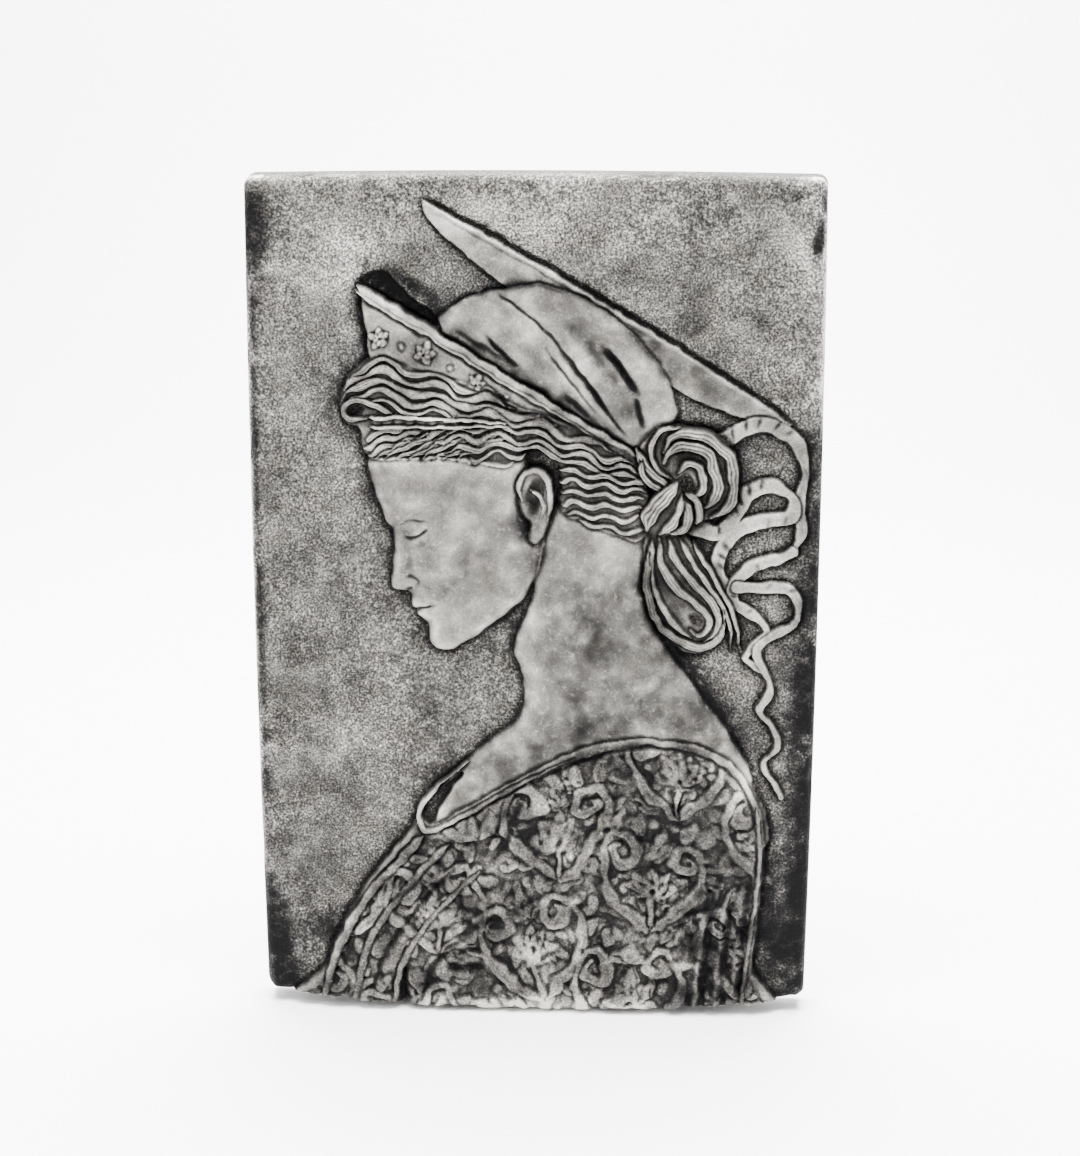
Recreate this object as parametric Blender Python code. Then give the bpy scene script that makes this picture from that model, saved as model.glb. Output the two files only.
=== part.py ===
# Religious wall plaque: a cast stone slab with a crowned and haloed saint in low relief, in profile.
# Metres, +Z up. The origin is at the centre of the flat back, and the carved face looks along -Y.
import math

import bmesh
import bpy
import numpy as np

# The slab
PLAQUE_WIDTH = 0.300        # across the face at the corners
PLAQUE_HEIGHT = 0.450       # up the face at the corners
TOP_RISE = 0.0015           # how far the top edge rises at its middle
BOTTOM_DROP = 0.007         # how far the bottom edge hangs at its middle
SIDE_BOW = 0.0015           # how far each side swells at half height
GROUND_THICKNESS = 0.021    # back to the plain ground at the rim
FACE_SWELL = 0.0012         # how much thicker the ground is in the middle
CORNER_RADIUS = 0.005
EDGE_ROUNDING = 0.0045      # the worn round between face and sides
SIDE_DRAFT = 0.0012         # how far each side leans out towards the back

# The hanging recess in the back
HANGER_WIDTH = 0.030
HANGER_HEIGHT = 0.014
HANGER_DEPTH = 0.011
HANGER_DROP = 0.055         # top of the slab's face to the middle of the recess

# The figure
FIGURE_HEIGHT = 0.446       # from the foot of the bust to the tip of the halo
RELIEF_HEIGHT = 0.0105      # the boldest carving over the ground
FIGURE_SHIFT = 0.000        # sideways, from the slab's middle

# How finely the surface is worked
CARVING_PITCH = 0.0015
FACE_TRIANGLES = 9300

# The figure is drawn in its own units, 446 of them tall and with the boldest carving 10.5 deep. Its zero
# is 231 units over its foot. X runs to the right and Z upwards, as the carved face is looked at.
DRAWN_HEIGHT = 446.0
DRAWN_DEPTH = 10.5
DRAWN_FOOT = -231.0


def smooth_line(points, closed=False, spacing=1.5):
    """A curve through the points, as evenly spaced places."""
    p = np.array(points, float)
    before = p[-1:] if closed else 2 * p[:1] - p[1:2]
    after = p[:2] if closed else 2 * p[-1:] - p[-2:-1]
    p = np.vstack([before, p, after])
    spans = []
    for a, b, c, d in zip(p[:-3], p[1:-2], p[2:-1], p[3:]):
        steps = max(2, int(math.hypot(*(c - b)) / spacing * 1.5))
        t = np.linspace(0, 1, steps, endpoint=False)[:, None]
        bend = (2 * a - 5 * b + 4 * c - d) * t ** 2 + (3 * b - a - 3 * c + d) * t ** 3
        spans.append(0.5 * (2 * b + (c - a) * t + bend))
    line = np.vstack(spans + [p[-2:-1]])
    return evenly(line, spacing)


def evenly(line, spacing):
    line = np.array(line, float)
    run = np.r_[0, np.cumsum(np.hypot(*np.diff(line, axis=0).T))]
    at = np.linspace(0, run[-1], max(3, int(run[-1] / spacing) + 1))
    return np.c_[np.interp(at, run, line[:, 0]), np.interp(at, run, line[:, 1])]


def between(first, last, share, count=50):
    """The line that lies at this share of the way from one guide line to another."""
    lines = []
    for points in (first, last):
        line = smooth_line(points)
        at = np.linspace(0, len(line) - 1, count)
        steps = np.arange(len(line))
        lines.append(np.c_[np.interp(at, steps, line[:, 0]), np.interp(at, steps, line[:, 1])])
    return lines[0] * (1 - share) + lines[1] * share


def wavy(line, swing, waves, phase, calm):
    """The line swung from side to side, and calm at both ends."""
    step = np.gradient(line, axis=0)
    across = np.c_[-step[:, 1], step[:, 0]] / np.maximum(np.hypot(*step.T), 1e-9)[:, None]
    s = np.linspace(0, 1, len(line))
    hold = ease(s / calm) * ease((1 - s) / calm)
    return line + across * (swing * hold * np.sin(2 * math.pi * (waves * s + phase)))[:, None]


def ease(t):
    t = np.clip(t, 0, 1)
    return t * t * (3 - 2 * t)


def round_over(t):
    t = np.clip(t, 0, 1)
    return np.sqrt(1 - (1 - t) ** 2)


def soften(field, cells, times=2):
    """The field averaged over its neighbourhood, this many times."""
    for _ in range(times):
        for axis in (0, 1):
            pad = [(0, 0), (0, 0)]
            pad[axis] = (cells + 1, cells)
            total = np.cumsum(np.pad(field, pad, mode="edge"), axis=axis)
            wide = 2 * cells + 1
            if axis:
                field = (total[:, wide:] - total[:, :-wide]) / wide
            else:
                field = (total[wide:] - total[:-wide]) / wide
    return field


class Relief:
    """The carved height over the ground, at each place of a grid."""

    def __init__(self, x, z, pitch):
        self.x = x
        self.z = z
        self.pitch = pitch
        self.h = np.zeros(x.shape)

    def window(self, path, reach):
        low = path.min(0) - reach
        high = path.max(0) + reach
        rows = np.where((self.z.max(1) >= low[1]) & (self.z.min(1) <= high[1]))[0]
        cols = np.where((self.x.max(0) >= low[0]) & (self.x.min(0) <= high[0]))[0]
        if not len(rows) or not len(cols):
            return None
        return slice(rows[0], rows[-1] + 1), slice(cols[0], cols[-1] + 1)

    def along(self, path, reach):
        """Near the path: the window, the distance to it, the share of the way along it, and the side."""
        w = self.window(path, reach)
        if w is None:
            return None
        x = self.x[w]
        z = self.z[w]
        best = np.full(x.shape, 1e9)
        share = np.zeros(x.shape)
        side = np.zeros(x.shape)
        steps = np.hypot(*np.diff(path, axis=0).T)
        total = steps.sum()
        run = 0.0
        for a, b, step in zip(path[:-1], path[1:], steps):
            if step < 1e-9:
                continue
            low = np.minimum(a, b) - reach
            high = np.maximum(a, b) + reach
            rows = np.where((z.max(1) >= low[1]) & (z.min(1) <= high[1]))[0]
            cols = np.where((x.max(0) >= low[0]) & (x.min(0) <= high[0]))[0]
            if len(rows) and len(cols):
                s = (slice(rows[0], rows[-1] + 1), slice(cols[0], cols[-1] + 1))
                u = (b - a) / step
                dx = x[s] - a[0]
                dz = z[s] - a[1]
                t = np.clip(dx * u[0] + dz * u[1], 0, step)
                d = np.hypot(dx - t * u[0], dz - t * u[1])
                near = d < best[s]
                best[s] = np.where(near, d, best[s])
                share[s] = np.where(near, (run + t) / total, share[s])
                side[s] = np.where(near, np.sign(u[0] * dz - u[1] * dx), side[s])
            run += step
        return w, best, share, side

    def depth_inside(self, outline, reach):
        """How far inside the closed outline each place is; negative outside."""
        path = np.vstack([outline, outline[:1]])
        w, d, _, _ = self.along(path, reach)
        x = self.x[w]
        z = self.z[w]
        odd = np.zeros(x.shape, bool)
        for a, b in zip(path[:-1], path[1:]):
            if a[1] == b[1]:
                continue
            crossed = (a[1] > z) != (b[1] > z)
            odd ^= crossed & (x < (b[0] - a[0]) * (z - a[1]) / (b[1] - a[1]) + a[0])
        return w, np.where(odd, 1, -1) * np.minimum(d, reach)

    def mass(self, outline, level, edge, dome=0.0, reach=25.0, gutter=1.2):
        """A raised form, rounded over its edge and swelling inwards, with a gutter cut round it."""
        w, inside = self.depth_inside(outline, max(reach, edge, 5.0))
        swell = soften(np.clip(inside, 0, reach) / reach, max(1, int(reach / self.pitch / 6)))
        up = (level + dome * ease(swell)) * round_over(inside / edge)
        cut = self.h[w] - gutter * np.exp(-(inside / 2.0) ** 2)
        self.h[w] = np.where(inside > 0, np.maximum(self.h[w], up), cut)

    def hollow(self, outline, floor, edge):
        w, inside = self.depth_inside(outline, max(5.0, edge))
        sunk = floor * ease(inside / edge)
        self.h[w] = np.where(inside > 0, np.minimum(self.h[w], sunk), self.h[w])

    def groove(self, points, width, depth, ends=0.2):
        found = self.along(smooth_line(points), width * 3)
        if found is None:
            return
        w, d, s, _ = found
        fade = ease(np.minimum(s, 1 - s) / ends)
        self.h[w] -= depth * np.exp(-(d / width) ** 2) * fade

    def ridge(self, points, width, height, ends=0.2):
        self.groove(points, width, -height, ends)

    def lock(self, line, half_width, base, crown, gap=2.0, root=0.12, tip=0.12):
        """A rounded lock or cord laid over what is there, with a sunk gap along both sides."""
        line = np.array(line, float)
        wide = np.broadcast_to(np.array(half_width, float), len(line))
        found = self.along(line, wide.max() + 3.0)
        if found is None:
            return
        w, d, s, _ = found
        half = np.interp(s, np.linspace(0, 1, len(line)), wide)
        crown = crown * np.sqrt(half / wide.max())
        half = half * (0.3 + 0.7 * ease(s / root)) * (0.25 + 0.75 * ease((1 - s) / tip))
        top = base + crown * np.sqrt(np.clip(1 - (d / half) ** 2, 0, 1))
        outside = np.clip(d - half, 0, None)
        cut = self.h[w] - gap * np.exp(-(outside / 1.0) ** 2)
        self.h[w] = np.where(d < half, top, np.where(outside < 3, cut, self.h[w]))

    def band(self, points, half_width, level, end_width, curl=0.5):
        """A flat ribbon with lifted edges, narrowing along its length."""
        found = self.along(smooth_line(points), half_width + 4.0)
        if found is None:
            return
        w, d, s, _ = found
        half = half_width * (1 - (1 - end_width) * s)
        top = level * round_over((1 - d / half) / 0.25) + curl * (d / half) ** 2
        outside = np.clip(d - half, 0, None)
        cut = self.h[w] - 1.0 * np.exp(-(outside / 1.2) ** 2)
        self.h[w] = np.where(d < half, top, np.where(outside < 3, cut, self.h[w]))

    def bump(self, x, z, across, up, height, turn=0.0, power=1.0):
        w = self.window(np.array([[x, z]], float), max(across, up) * 2.5)
        if w is None:
            return
        c = math.cos(math.radians(turn))
        s = math.sin(math.radians(turn))
        dx = self.x[w] - x
        dz = self.z[w] - z
        u = (dx * c + dz * s) / across
        v = (-dx * s + dz * c) / up
        self.h[w] += height * np.exp(-(u * u + v * v) ** power)

    def tress(self, first, last, count, fill, base, crown, swing, waves, drift, calm=0.1, gap=2.0):
        """Wavy locks that share the space between two guide lines."""
        room = np.hypot(*(between(first, last, 1) - between(first, last, 0)).T) / count
        for i in range(count):
            line = between(first, last, (i + 0.5) / count)
            line = wavy(line, swing, waves, drift * i, calm)
            self.lock(line, np.clip(fill * room / 2, 1.2, 3.4), base, crown, gap)

    def leaf(self, x, z, length, width, turn, height):
        """A leaf or petal from its foot at (x, z), lying the way that turn says, in degrees."""
        middle_x = x + 0.5 * length * math.cos(math.radians(turn))
        middle_z = z + 0.5 * length * math.sin(math.radians(turn))
        self.bump(middle_x, middle_z, 0.5 * length, 0.5 * width, height, turn, 2)


# The halo, a thin disc seen nearly from its edge
HALO_FRONT = (-58, 214)
HALO_BACK = (136, 98)
HALO_SAG = 17.5
HALO_BOW = 3.5
HALO_LEVEL = 2.2


def carve_halo(relief):
    a = np.array(HALO_FRONT, float)
    b = np.array(HALO_BACK, float)
    along = b - a
    down = np.array([along[1], -along[0]]) / np.hypot(*along)
    s = np.linspace(0, 1, 41)
    sag = HALO_SAG * np.sqrt(np.clip(1 - (2 * s - 1) ** 2, 0, 1))
    bow = 4 * HALO_BOW * s * (1 - s)
    arc = a + s[:, None] * along + sag[:, None] * down
    edge = a + s[:, None] * along - bow[:, None] * down
    relief.mass(np.vstack([arc, edge[::-1][1:-1]]), HALO_LEVEL, 1.4, 0.2, 6)
    relief.groove(edge - down * 2.0, 1.6, 2.0, 0.06)
    relief.ridge(edge + down * 1.0, 1.2, 0.9, 0.06)


NECK = [
    (58, 50), (59, 10), (62, -6), (72, -24), (86, -43), (100, -62), (111, -80), (119, -98), (120, -140),
    (0, -160), (-58, -135), (-62, -121), (-55, -109), (-42, -93), (-29, -80), (-17, -71), (-9, -64),
    (-5.5, -54), (-6, -40), (-9, -30), (-10, -20), (0, 10), (0, 50),
]


def carve_neck(relief):
    relief.mass(smooth_line(NECK, True), 4.2, 5, 2.0, 32)
    relief.groove([(22, -8), (16, -38), (4, -62)], 7, 0.5)
    relief.ridge([(34, 18), (26, -12), (12, -48), (-6, -76)], 6, 0.8)
    relief.ridge([(-52, -114), (-32, -96), (0, -86), (36, -76)], 5, 0.7)


CAP = [
    (-50, 152), (-44, 158), (-34, 164), (-20, 168), (-4, 171), (8, 170.5), (22, 166), (36, 158.5), (49, 148.5),
    (60, 137), (68.5, 124), (74, 111), (74, 101), (69, 94), (62, 88), (57, 82), (40, 85), (0, 110), (-40, 140),
]
CAP_FOLDS = (
    ([(-21, 168), (-6, 158), (8, 146), (24, 126), (38, 106), (50, 91)], 1.7, 2.0),
    ([(2, 143), (15, 127), (27, 113), (38, 101)], 1.6, 1.8),
    ([(-27, 147), (-16, 136), (-5, 125)], 1.6, 1.8),
    ([(33, 142), (44, 130), (52, 119), (58, 110)], 2.0, 3.0),
    ([(49, 115), (54, 106), (57, 95)], 1.8, 2.2),
    ([(13, 118), (24, 107), (34, 98)], 1.8, 2.0),
)


def carve_cap(relief):
    relief.mass(smooth_line(CAP, True), 4.6, 7, 2.8, 30)
    for points, width, depth in CAP_FOLDS:
        relief.groove(points, width, depth, 0.3)
    relief.ridge([(-14, 156), (2, 139), (20, 119), (38, 100)], 3.4, 0.9, 0.3)
    relief.ridge([(14, 150), (32, 128), (45, 110), (53, 93)], 4.0, 1.1, 0.3)


CROWN_TIP = (-91, 171)
CROWN_BACK = (56, 82.5)
CROWN_FACE = [(-91, 170), (-88.5, 150), (-85, 128), (-60, 112), (-20, 96), (30, 84), (56, 80), (56, 83)]
CROWN_HOLLOW = [
    (-92, 172), (-86, 177), (-79, 178.5), (-72, 174), (-63, 164.5), (-52, 156), (-46, 147), (-60, 150),
    (-76, 160),
]
CROWN_FLOWERS = ((-79.5, 143, 7.0, 78), (-57, 134.5, 7.0, -24), (-30, 119.5, 5.6, -26))
CROWN_PEARLS = ((-69, 138.5), (-43, 127.5), (-14, 113))


def carve_crown(relief):
    relief.hollow(smooth_line(CROWN_HOLLOW, True), -1.6, 1.8)
    relief.mass(evenly(CROWN_FACE, 2), 4.6, 1.8, 0.6, 12, 1.6)
    a = np.array(CROWN_TIP, float)
    b = np.array(CROWN_BACK, float)
    along = (b - a) / np.hypot(*(b - a))
    down = np.array([along[1], -along[0]])
    relief.lock(evenly([a + down * 2.4, b + down * 2.4], 3), 2.8, 5.2, 1.8, 1.6, 0.02, 0.04)
    for x, z, size, turn in CROWN_FLOWERS:
        for lean in (-120, -60, 0, 60, 120):
            relief.leaf(x, z, size, 0.55 * size, turn + 90 + lean, 1.5)
    for x, z in CROWN_PEARLS:
        relief.bump(x, z, 1.9, 1.9, 1.6)


# The head's own measure: its places are shares of the face's length, down its line and in front of it.
HAIRLINE = (-88, 84)
FACE_TILT = 19.0
FACE_LENGTH = 117.0
FACE_OUTLINE = [
    (-0.06, -0.01), (0.0, 0.0), (0.08, 0.018), (0.18, 0.030), (0.27, 0.030), (0.335, 0.030),
    (0.385, 0.012), (0.43, 0.022), (0.50, 0.052), (0.57, 0.086), (0.622, 0.113), (0.642, 0.112),
    (0.660, 0.088), (0.672, 0.052), (0.690, 0.036), (0.715, 0.039), (0.742, 0.050), (0.757, 0.045),
    (0.768, 0.030), (0.782, 0.038), (0.800, 0.040), (0.822, 0.022), (0.850, 0.008), (0.885, 0.014),
    (0.925, 0.024), (0.962, 0.018), (0.990, -0.010), (0.998, -0.070), (0.985, -0.14), (0.955, -0.24),
    (0.925, -0.33), (0.87, -0.45), (0.76, -0.565), (0.60, -0.64), (0.42, -0.66), (0.2, -0.66),
    (-0.1, -0.6), (-0.14, -0.1),
]


def on_face(down, forward):
    tilt = math.radians(FACE_TILT)
    x = HAIRLINE[0] + FACE_LENGTH * (down * math.sin(tilt) - forward * math.cos(tilt))
    z = HAIRLINE[1] - FACE_LENGTH * (down * math.cos(tilt) + forward * math.sin(tilt))
    return x, z


def carve_face(relief):
    outline = smooth_line([on_face(*p) for p in FACE_OUTLINE], True, 1.2)
    relief.mass(outline, 5.4, 4.5, 2.2, 34)
    turn = -FACE_TILT
    # the brow and the lowered eye
    relief.ridge([on_face(0.34, 0.0), on_face(0.315, -0.08), on_face(0.335, -0.17)], 2.6, 0.6)
    relief.bump(*on_face(0.395, -0.045), 8.5, 5.0, -1.7, turn)
    relief.bump(*on_face(0.405, -0.072), 6.0, 3.8, 2.1, turn - 8)
    relief.groove([on_face(0.425, -0.022), on_face(0.442, -0.07), on_face(0.418, -0.142)], 1.1, 1.4)
    # the nose
    relief.groove([on_face(0.42, -0.018), on_face(0.52, -0.012), on_face(0.60, 0.0)], 2.4, 0.8)
    relief.bump(*on_face(0.640, 0.022), 4.4, 3.4, 1.5, turn)
    relief.groove([on_face(0.612, 0.015), on_face(0.640, -0.022), on_face(0.672, -0.006)], 1.1, 1.1)
    # the lips
    relief.bump(*on_face(0.745, 0.018), 4.8, 2.0, 0.9, turn)
    relief.bump(*on_face(0.792, 0.012), 4.4, 2.1, 0.9, turn)
    relief.groove([on_face(0.766, 0.036), on_face(0.766, 0.0), on_face(0.768, -0.042)], 1.0, 1.5)
    # cheek and jaw
    relief.bump(*on_face(0.56, -0.22), 17, 14, 1.0, turn)
    relief.bump(*on_face(0.72, -0.24), 12, 12, -0.4, turn)


HAIR = [
    (-84, 132.5), (-93, 127), (-100, 117), (-102, 107), (-99, 98), (-92, 95), (-91, 88), (-87, 80),
    (-70, 79), (-50, 80), (-30, 78), (-14, 76), (-4, 84), (8, 84), (14, 70), (13, 54), (25, 47),
    (40, 41), (55, 36), (62, 45), (61, 60), (57, 76), (50, 86), (35, 92), (15, 100), (-5, 107),
    (-22, 114), (-40, 121), (-60, 126), (-74, 131),
]
ROLL_TOP = [
    (-91, 98), (-101, 103), (-102, 115), (-95, 126), (-82, 130), (-68, 127.5), (-52, 122), (-34, 116),
    (-16, 108), (4, 101), (24, 93), (42, 85), (57, 78),
]
ROLL_FOOT = [
    (-86, 100), (-92, 99.5), (-96.5, 103), (-93, 109), (-84, 107), (-72, 103.5), (-55, 103), (-36, 102),
    (-18, 100), (2, 94), (22, 86), (42, 78), (58, 74),
]
BROW_TOP = [
    (-87, 93), (-70, 95), (-50, 96), (-30, 97), (-12, 96), (6, 89), (24, 82), (42, 76), (58, 72),
]
BROW_FOOT = [
    (-88, 80), (-72, 79), (-52, 80), (-32, 78), (-15, 76.5), (-2, 84), (10, 81.5), (28, 74), (44, 70),
    (58, 68),
]
NAPE_TOP = [(13, 76), (24, 72), (36, 72), (48, 70), (59, 68)]
NAPE_FOOT = [(17, 50), (28, 48), (40, 42), (52, 37), (61, 42)]
FILLET = [(-87, 99), (-50, 98.8), (-15, 98)]


def carve_hair(relief):
    relief.mass(smooth_line(HAIR, True), 4.4, 3.5, 0.8, 14)
    relief.tress(ROLL_TOP, ROLL_FOOT, 4, 0.8, 4.0, 3.6, 1.8, 9.5, 0.05, 0.3, 3.0)
    relief.tress(BROW_TOP, BROW_FOOT, 3, 0.8, 4.2, 3.4, 1.6, 9.5, 0.06, 0.1, 3.0)
    relief.tress(NAPE_TOP, NAPE_FOOT, 4, 0.8, 4.0, 3.4, 1.4, 3.2, 0.06, 0.1, 3.0)
    relief.lock(smooth_line(FILLET), 1.9, 6.0, 2.0, 2.0, 0.03, 0.05)


EAR = [
    (-7.5, 60), (-8, 68), (-3, 74.5), (4, 74), (9.5, 67), (10.5, 57), (8.5, 47), (5, 38), (1, 34.5),
    (-2.5, 38), (-2.5, 46), (-6, 51),
]

EAR_RIM = [(-5, 58), (-8, 65), (-4.5, 72.5), (2.5, 73.5), (8, 67.5), (9.3, 57), (7.5, 47)]


def carve_ear(relief):
    relief.bump(2, 57, 12, 19, -1.2, -8, 2)
    relief.mass(smooth_line(EAR, True), 6.4, 2.2, 0.0, 5, 1.8)
    relief.bump(1.5, 62, 5.0, 9.0, -3.4, -14, 2)
    relief.bump(-0.5, 54, 3.4, 4.6, -2.2, 0, 2)
    relief.lock(smooth_line(EAR_RIM), 1.7, 6.6, 1.6, 0.8)
    relief.bump(0.6, 39.5, 3.0, 3.6, 1.5)


TAIL = [
    (60, 40), (58.5, 22), (61, 4), (69, -14), (80, -24.5), (92, -24), (101, -14), (103, 0), (98, 12),
    (90, 24), (82, 38), (72, 42),
]
TAIL_OUTER = [(62, 38), (60, 14), (64, -6), (74, -18), (86, -23), (97, -18), (101, -6)]
TAIL_INNER = [(68, 38), (76, 20), (90, 8), (98, -4), (95, -15), (86, -17), (83, -11)]
TAIL_FREE = [(74, 36), (84, 20), (98, 8), (106, -8), (108, -22)]
KNOT = [
    (56, 84), (60, 92), (68, 98), (80, 98), (92, 95), (103, 87), (106, 72), (106, 60), (99, 50),
    (86, 46), (74, 40), (62, 40), (58, 46), (62, 56), (62, 68),
]
# Each lock of the knot: its line, half width and height
KNOT_LOCKS = (
    ([(74, 62), (66, 70), (61, 80), (63, 90), (71, 97), (80, 96), (91, 94), (98, 88), (104, 80), (106, 68),
      (103, 57), (95, 50), (86, 47)], 3.4, 4.6),
    ([(72, 66), (67, 75), (68, 86), (76, 92), (87, 91), (95, 84), (99, 74), (99, 63), (94, 55), (87, 52)],
     3.2, 5.2),
    ([(73, 74), (74, 82), (81, 86), (89, 82), (92, 74), (92, 65), (88, 58)], 2.8, 5.4),
    ([(84, 46), (88, 51), (86, 59), (80, 62)], 2.4, 5.2),
    ([(70, 41), (79, 44), (82, 52), (78, 60)], 2.6, 5.4),
    ([(54, 84), (60, 76), (66, 70), (72, 63)], 3.0, 5.0),
    ([(59, 43), (63, 53), (70, 60), (76, 68)], 4.2, 5.8),
)


def carve_tail(relief):
    relief.mass(smooth_line(TAIL, True), 3.6, 3, 0, 8, 1.4)
    relief.lock(smooth_line(TAIL_FREE), 2.2, 3.8, 2.2)
    relief.tress(TAIL_INNER, TAIL_OUTER, 4, 0.8, 4.2, 3.4, 0.3, 1, 0.2, 0.1, 3.0)


def carve_knot(relief):
    relief.mass(smooth_line(KNOT, True), 5.0, 4, 0, 8, 1.6)
    for points, half_width, base in KNOT_LOCKS[:3]:
        relief.lock(smooth_line(points), half_width, base, 3.4, 3.0)
    relief.bump(80.5, 67, 4.2, 5.0, -4.5, 20, 2)
    for points, half_width, base in KNOT_LOCKS[3:]:
        relief.lock(smooth_line(points), half_width, base, 3.2, 2.6)


# Each ribbon: its line, half width, height and the share of its width left at the end
RIBBONS = (
    ([(92, 88), (103, 92), (114, 99), (127, 98), (138, 88), (142, 73), (139, 57), (141, 42), (137, 31)],
     4.4, 2.8, 0.8),
    ([(84, 44), (97, 41), (106, 50), (113, 62), (125, 66.5), (136, 58), (135, 50), (122, 47.5), (108, 42),
      (99, 31), (98, 18), (103, 8)], 4.5, 3.2, 0.85),
    ([(137, 31), (130, 27), (117, 23), (107, 14), (107, 3), (117, -4), (124, -13), (118, -21), (113, -28),
      (122, -34)], 3.8, 3.2, 0.7),
    ([(108, 12), (120, 11), (134, 11), (141, 2), (138, -9), (127, -15), (119, -24), (124, -36), (127, -46),
      (121, -57), (129, -67), (131, -78), (124, -88), (130, -98), (134, -106)], 3.2, 3.0, 0.45),
)


def carve_ribbons(relief):
    for points, half_width, level, end_width in RIBBONS:
        relief.band(points, half_width, level, end_width)


DRESS = [
    (-63, -119), (-70, -131), (-84, -148), (-97, -167), (-108, -188), (-116, -208), (-122, -240),
    (118, -240), (121, -205), (124, -172), (125.5, -142), (124.5, -120), (119, -104), (111, -91),
    (100, -81.5), (85, -75.5), (65, -73), (45, -73.5), (25, -79), (5, -88.5), (-15, -100), (-35, -112),
    (-50, -121.5), (-58, -124),
]
HEM = [
    (-52, -128), (-30, -115), (-8, -102), (14, -91), (36, -82), (60, -77.5), (84, -80), (104, -90),
    (116, -106), (120, -124),
]
DRESS_FOLDS = (
    ([(-4, -101), (-9, -112), (-14, -124), (-21, -138), (-30, -150)], 2.4, 2.6),
    ([(-20, -170), (-34, -184), (-48, -198), (-58, -212), (-62, -232)], 3.4, 2.8),
    ([(-60, -130), (-74, -144), (-88, -158)], 1.6, 1.6),
    ([(-30, -136), (-52, -158), (-70, -180), (-84, -204), (-90, -232)], 1.9, 2.0),
    ([(-72, -206), (-74, -220), (-73, -234)], 2.8, 4.0),
    ([(-50, -203), (-38, -200), (-26, -203)], 2.2, 2.8),
)
FRONT_BANDS = (
    ([(-60, -130), (-75, -147), (-90, -164), (-102, -184), (-112, -206), (-119, -236)], 2.3, 5.4),
    ([(-47, -135), (-63, -152), (-80, -174), (-93, -198), (-101, -236)], 2.1, 5.8),
    ([(-30, -150), (-46, -166), (-62, -186), (-73, -206), (-80, -236)], 1.9, 6.2),
)
SLEEVE_FOLDS = ((112, -150), (102, -160), (91, -170))


def carve_dress(relief):
    outline = smooth_line(DRESS, True)
    relief.mass(outline, 4.4, 4, 2.4, 50)
    # the woven pattern stays clear of the dress's edge
    cloth = Relief(relief.x, relief.z, relief.pitch)
    carve_brocade(cloth)
    w, inside = relief.depth_inside(outline, 12)
    relief.h[w] += np.clip(cloth.h[w], 0, 2.6) * ease((inside - 4.5) / 2.5)
    relief.groove(HEM, 1.2, 1.4, 0.05)
    for points, width, depth in DRESS_FOLDS:
        relief.groove(points, width, depth, 0.25)
    relief.ridge([(12, -152), (-12, -168), (-30, -184), (-44, -200), (-52, -214)], 4.0, 1.2, 0.3)
    for points, half_width, base in FRONT_BANDS:
        relief.lock(smooth_line(points), half_width, base, 1.5, 1.6, 0.05, 0.02)
    for x, top in SLEEVE_FOLDS:
        relief.ridge([(x + 3, top), (x, top - 32), (x - 3, -240)], 1.6, 1.3, 0.2)
        relief.groove([(x + 7, top + 4), (x + 4, top - 32), (x + 1, -240)], 2.0, 1.5, 0.2)


# The brocade: stems that part, rise and wind in on themselves, with a flower between them, repeated in
# half-drop rows. Its places are to the right of each flower's foot and above it.
BROCADE_WIDTH = 60.0
BROCADE_HEIGHT = 66.0
BROCADE_TURN = 97.0
STEM = [(1, -33), (9, -27), (18, -18), (26, -6), (28.5, 5)]
SCROLL = (18.0, 12.0, 10.5)
PETALS = ((118, 12), (-118, 12), (80, 14.5), (-80, 14.5), (42, 16), (-42, 16), (0, 18))
BUD = ((44, 13), (-44, 13), (0, 19))


def on_cloth(u, v):
    """From the flat cloth to the slab, bent over the shoulder."""
    x = 6 + u + 0.20 * (v + 150)
    return x, v + 2 - 0.0016 * (x - 55) ** 2


def spiral(x, z, radius, start, hand, turns=1.2, close=0.66):
    """Places that wind in round (x, z) from the outer radius."""
    t = np.linspace(0, 1, 18)
    a = math.radians(start) + hand * 2 * math.pi * turns * t
    r = radius * (1 - close * t)
    return np.c_[x + r * np.cos(a), z + r * np.sin(a)]


def carve_flower(relief, x, z, turn):
    c = math.cos(math.radians(turn))
    s = math.sin(math.radians(turn))

    def at(right, up):
        return x + right * s + up * c, z - right * c + up * s

    for hand in (1, -1):
        centre, up, radius = SCROLL
        wound = spiral(hand * centre, up, radius, 0 if hand > 0 else 180, hand)
        stem = [at(hand * right, height) for right, height in STEM]
        relief.ridge(stem + [at(*place) for place in wound[2:]], 2.6, 2.5, 0.06)
    for lean, length in BUD:
        relief.leaf(*at(0, 11), length, 8.0, turn + lean, 2.3)
    for lean, length in PETALS:
        relief.leaf(*at(0, -9), length, 8.5, turn + lean, 2.4)


def carve_brocade(relief):
    for i in range(-3, 4):
        for j in range(-1, 4):
            u = i * BROCADE_WIDTH
            v = -252 + j * BROCADE_HEIGHT + (i % 2) * BROCADE_HEIGHT / 2
            carve_flower(relief, *on_cloth(u, v), BROCADE_TURN - 0.13 * u)


COLLAR = [
    (-36, -88), (-47, -97), (-57, -107), (-63, -117), (-61, -126), (-54, -126.5), (-40, -119),
    (-22, -108), (0, -95), (22, -84),
]
COLLAR_HOLLOW = [
    (-57, -109), (-48, -101), (-40, -93), (-38, -96), (-46, -106), (-51, -115), (-54, -123),
    (-59.5, -124), (-61.5, -117),
]


def carve_collar(relief):
    relief.hollow(smooth_line(COLLAR_HOLLOW, True), -0.6, 2.0)
    relief.lock(smooth_line(COLLAR), 1.8, 5.0, 1.8, 1.2, 0.3, 0.3)


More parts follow.
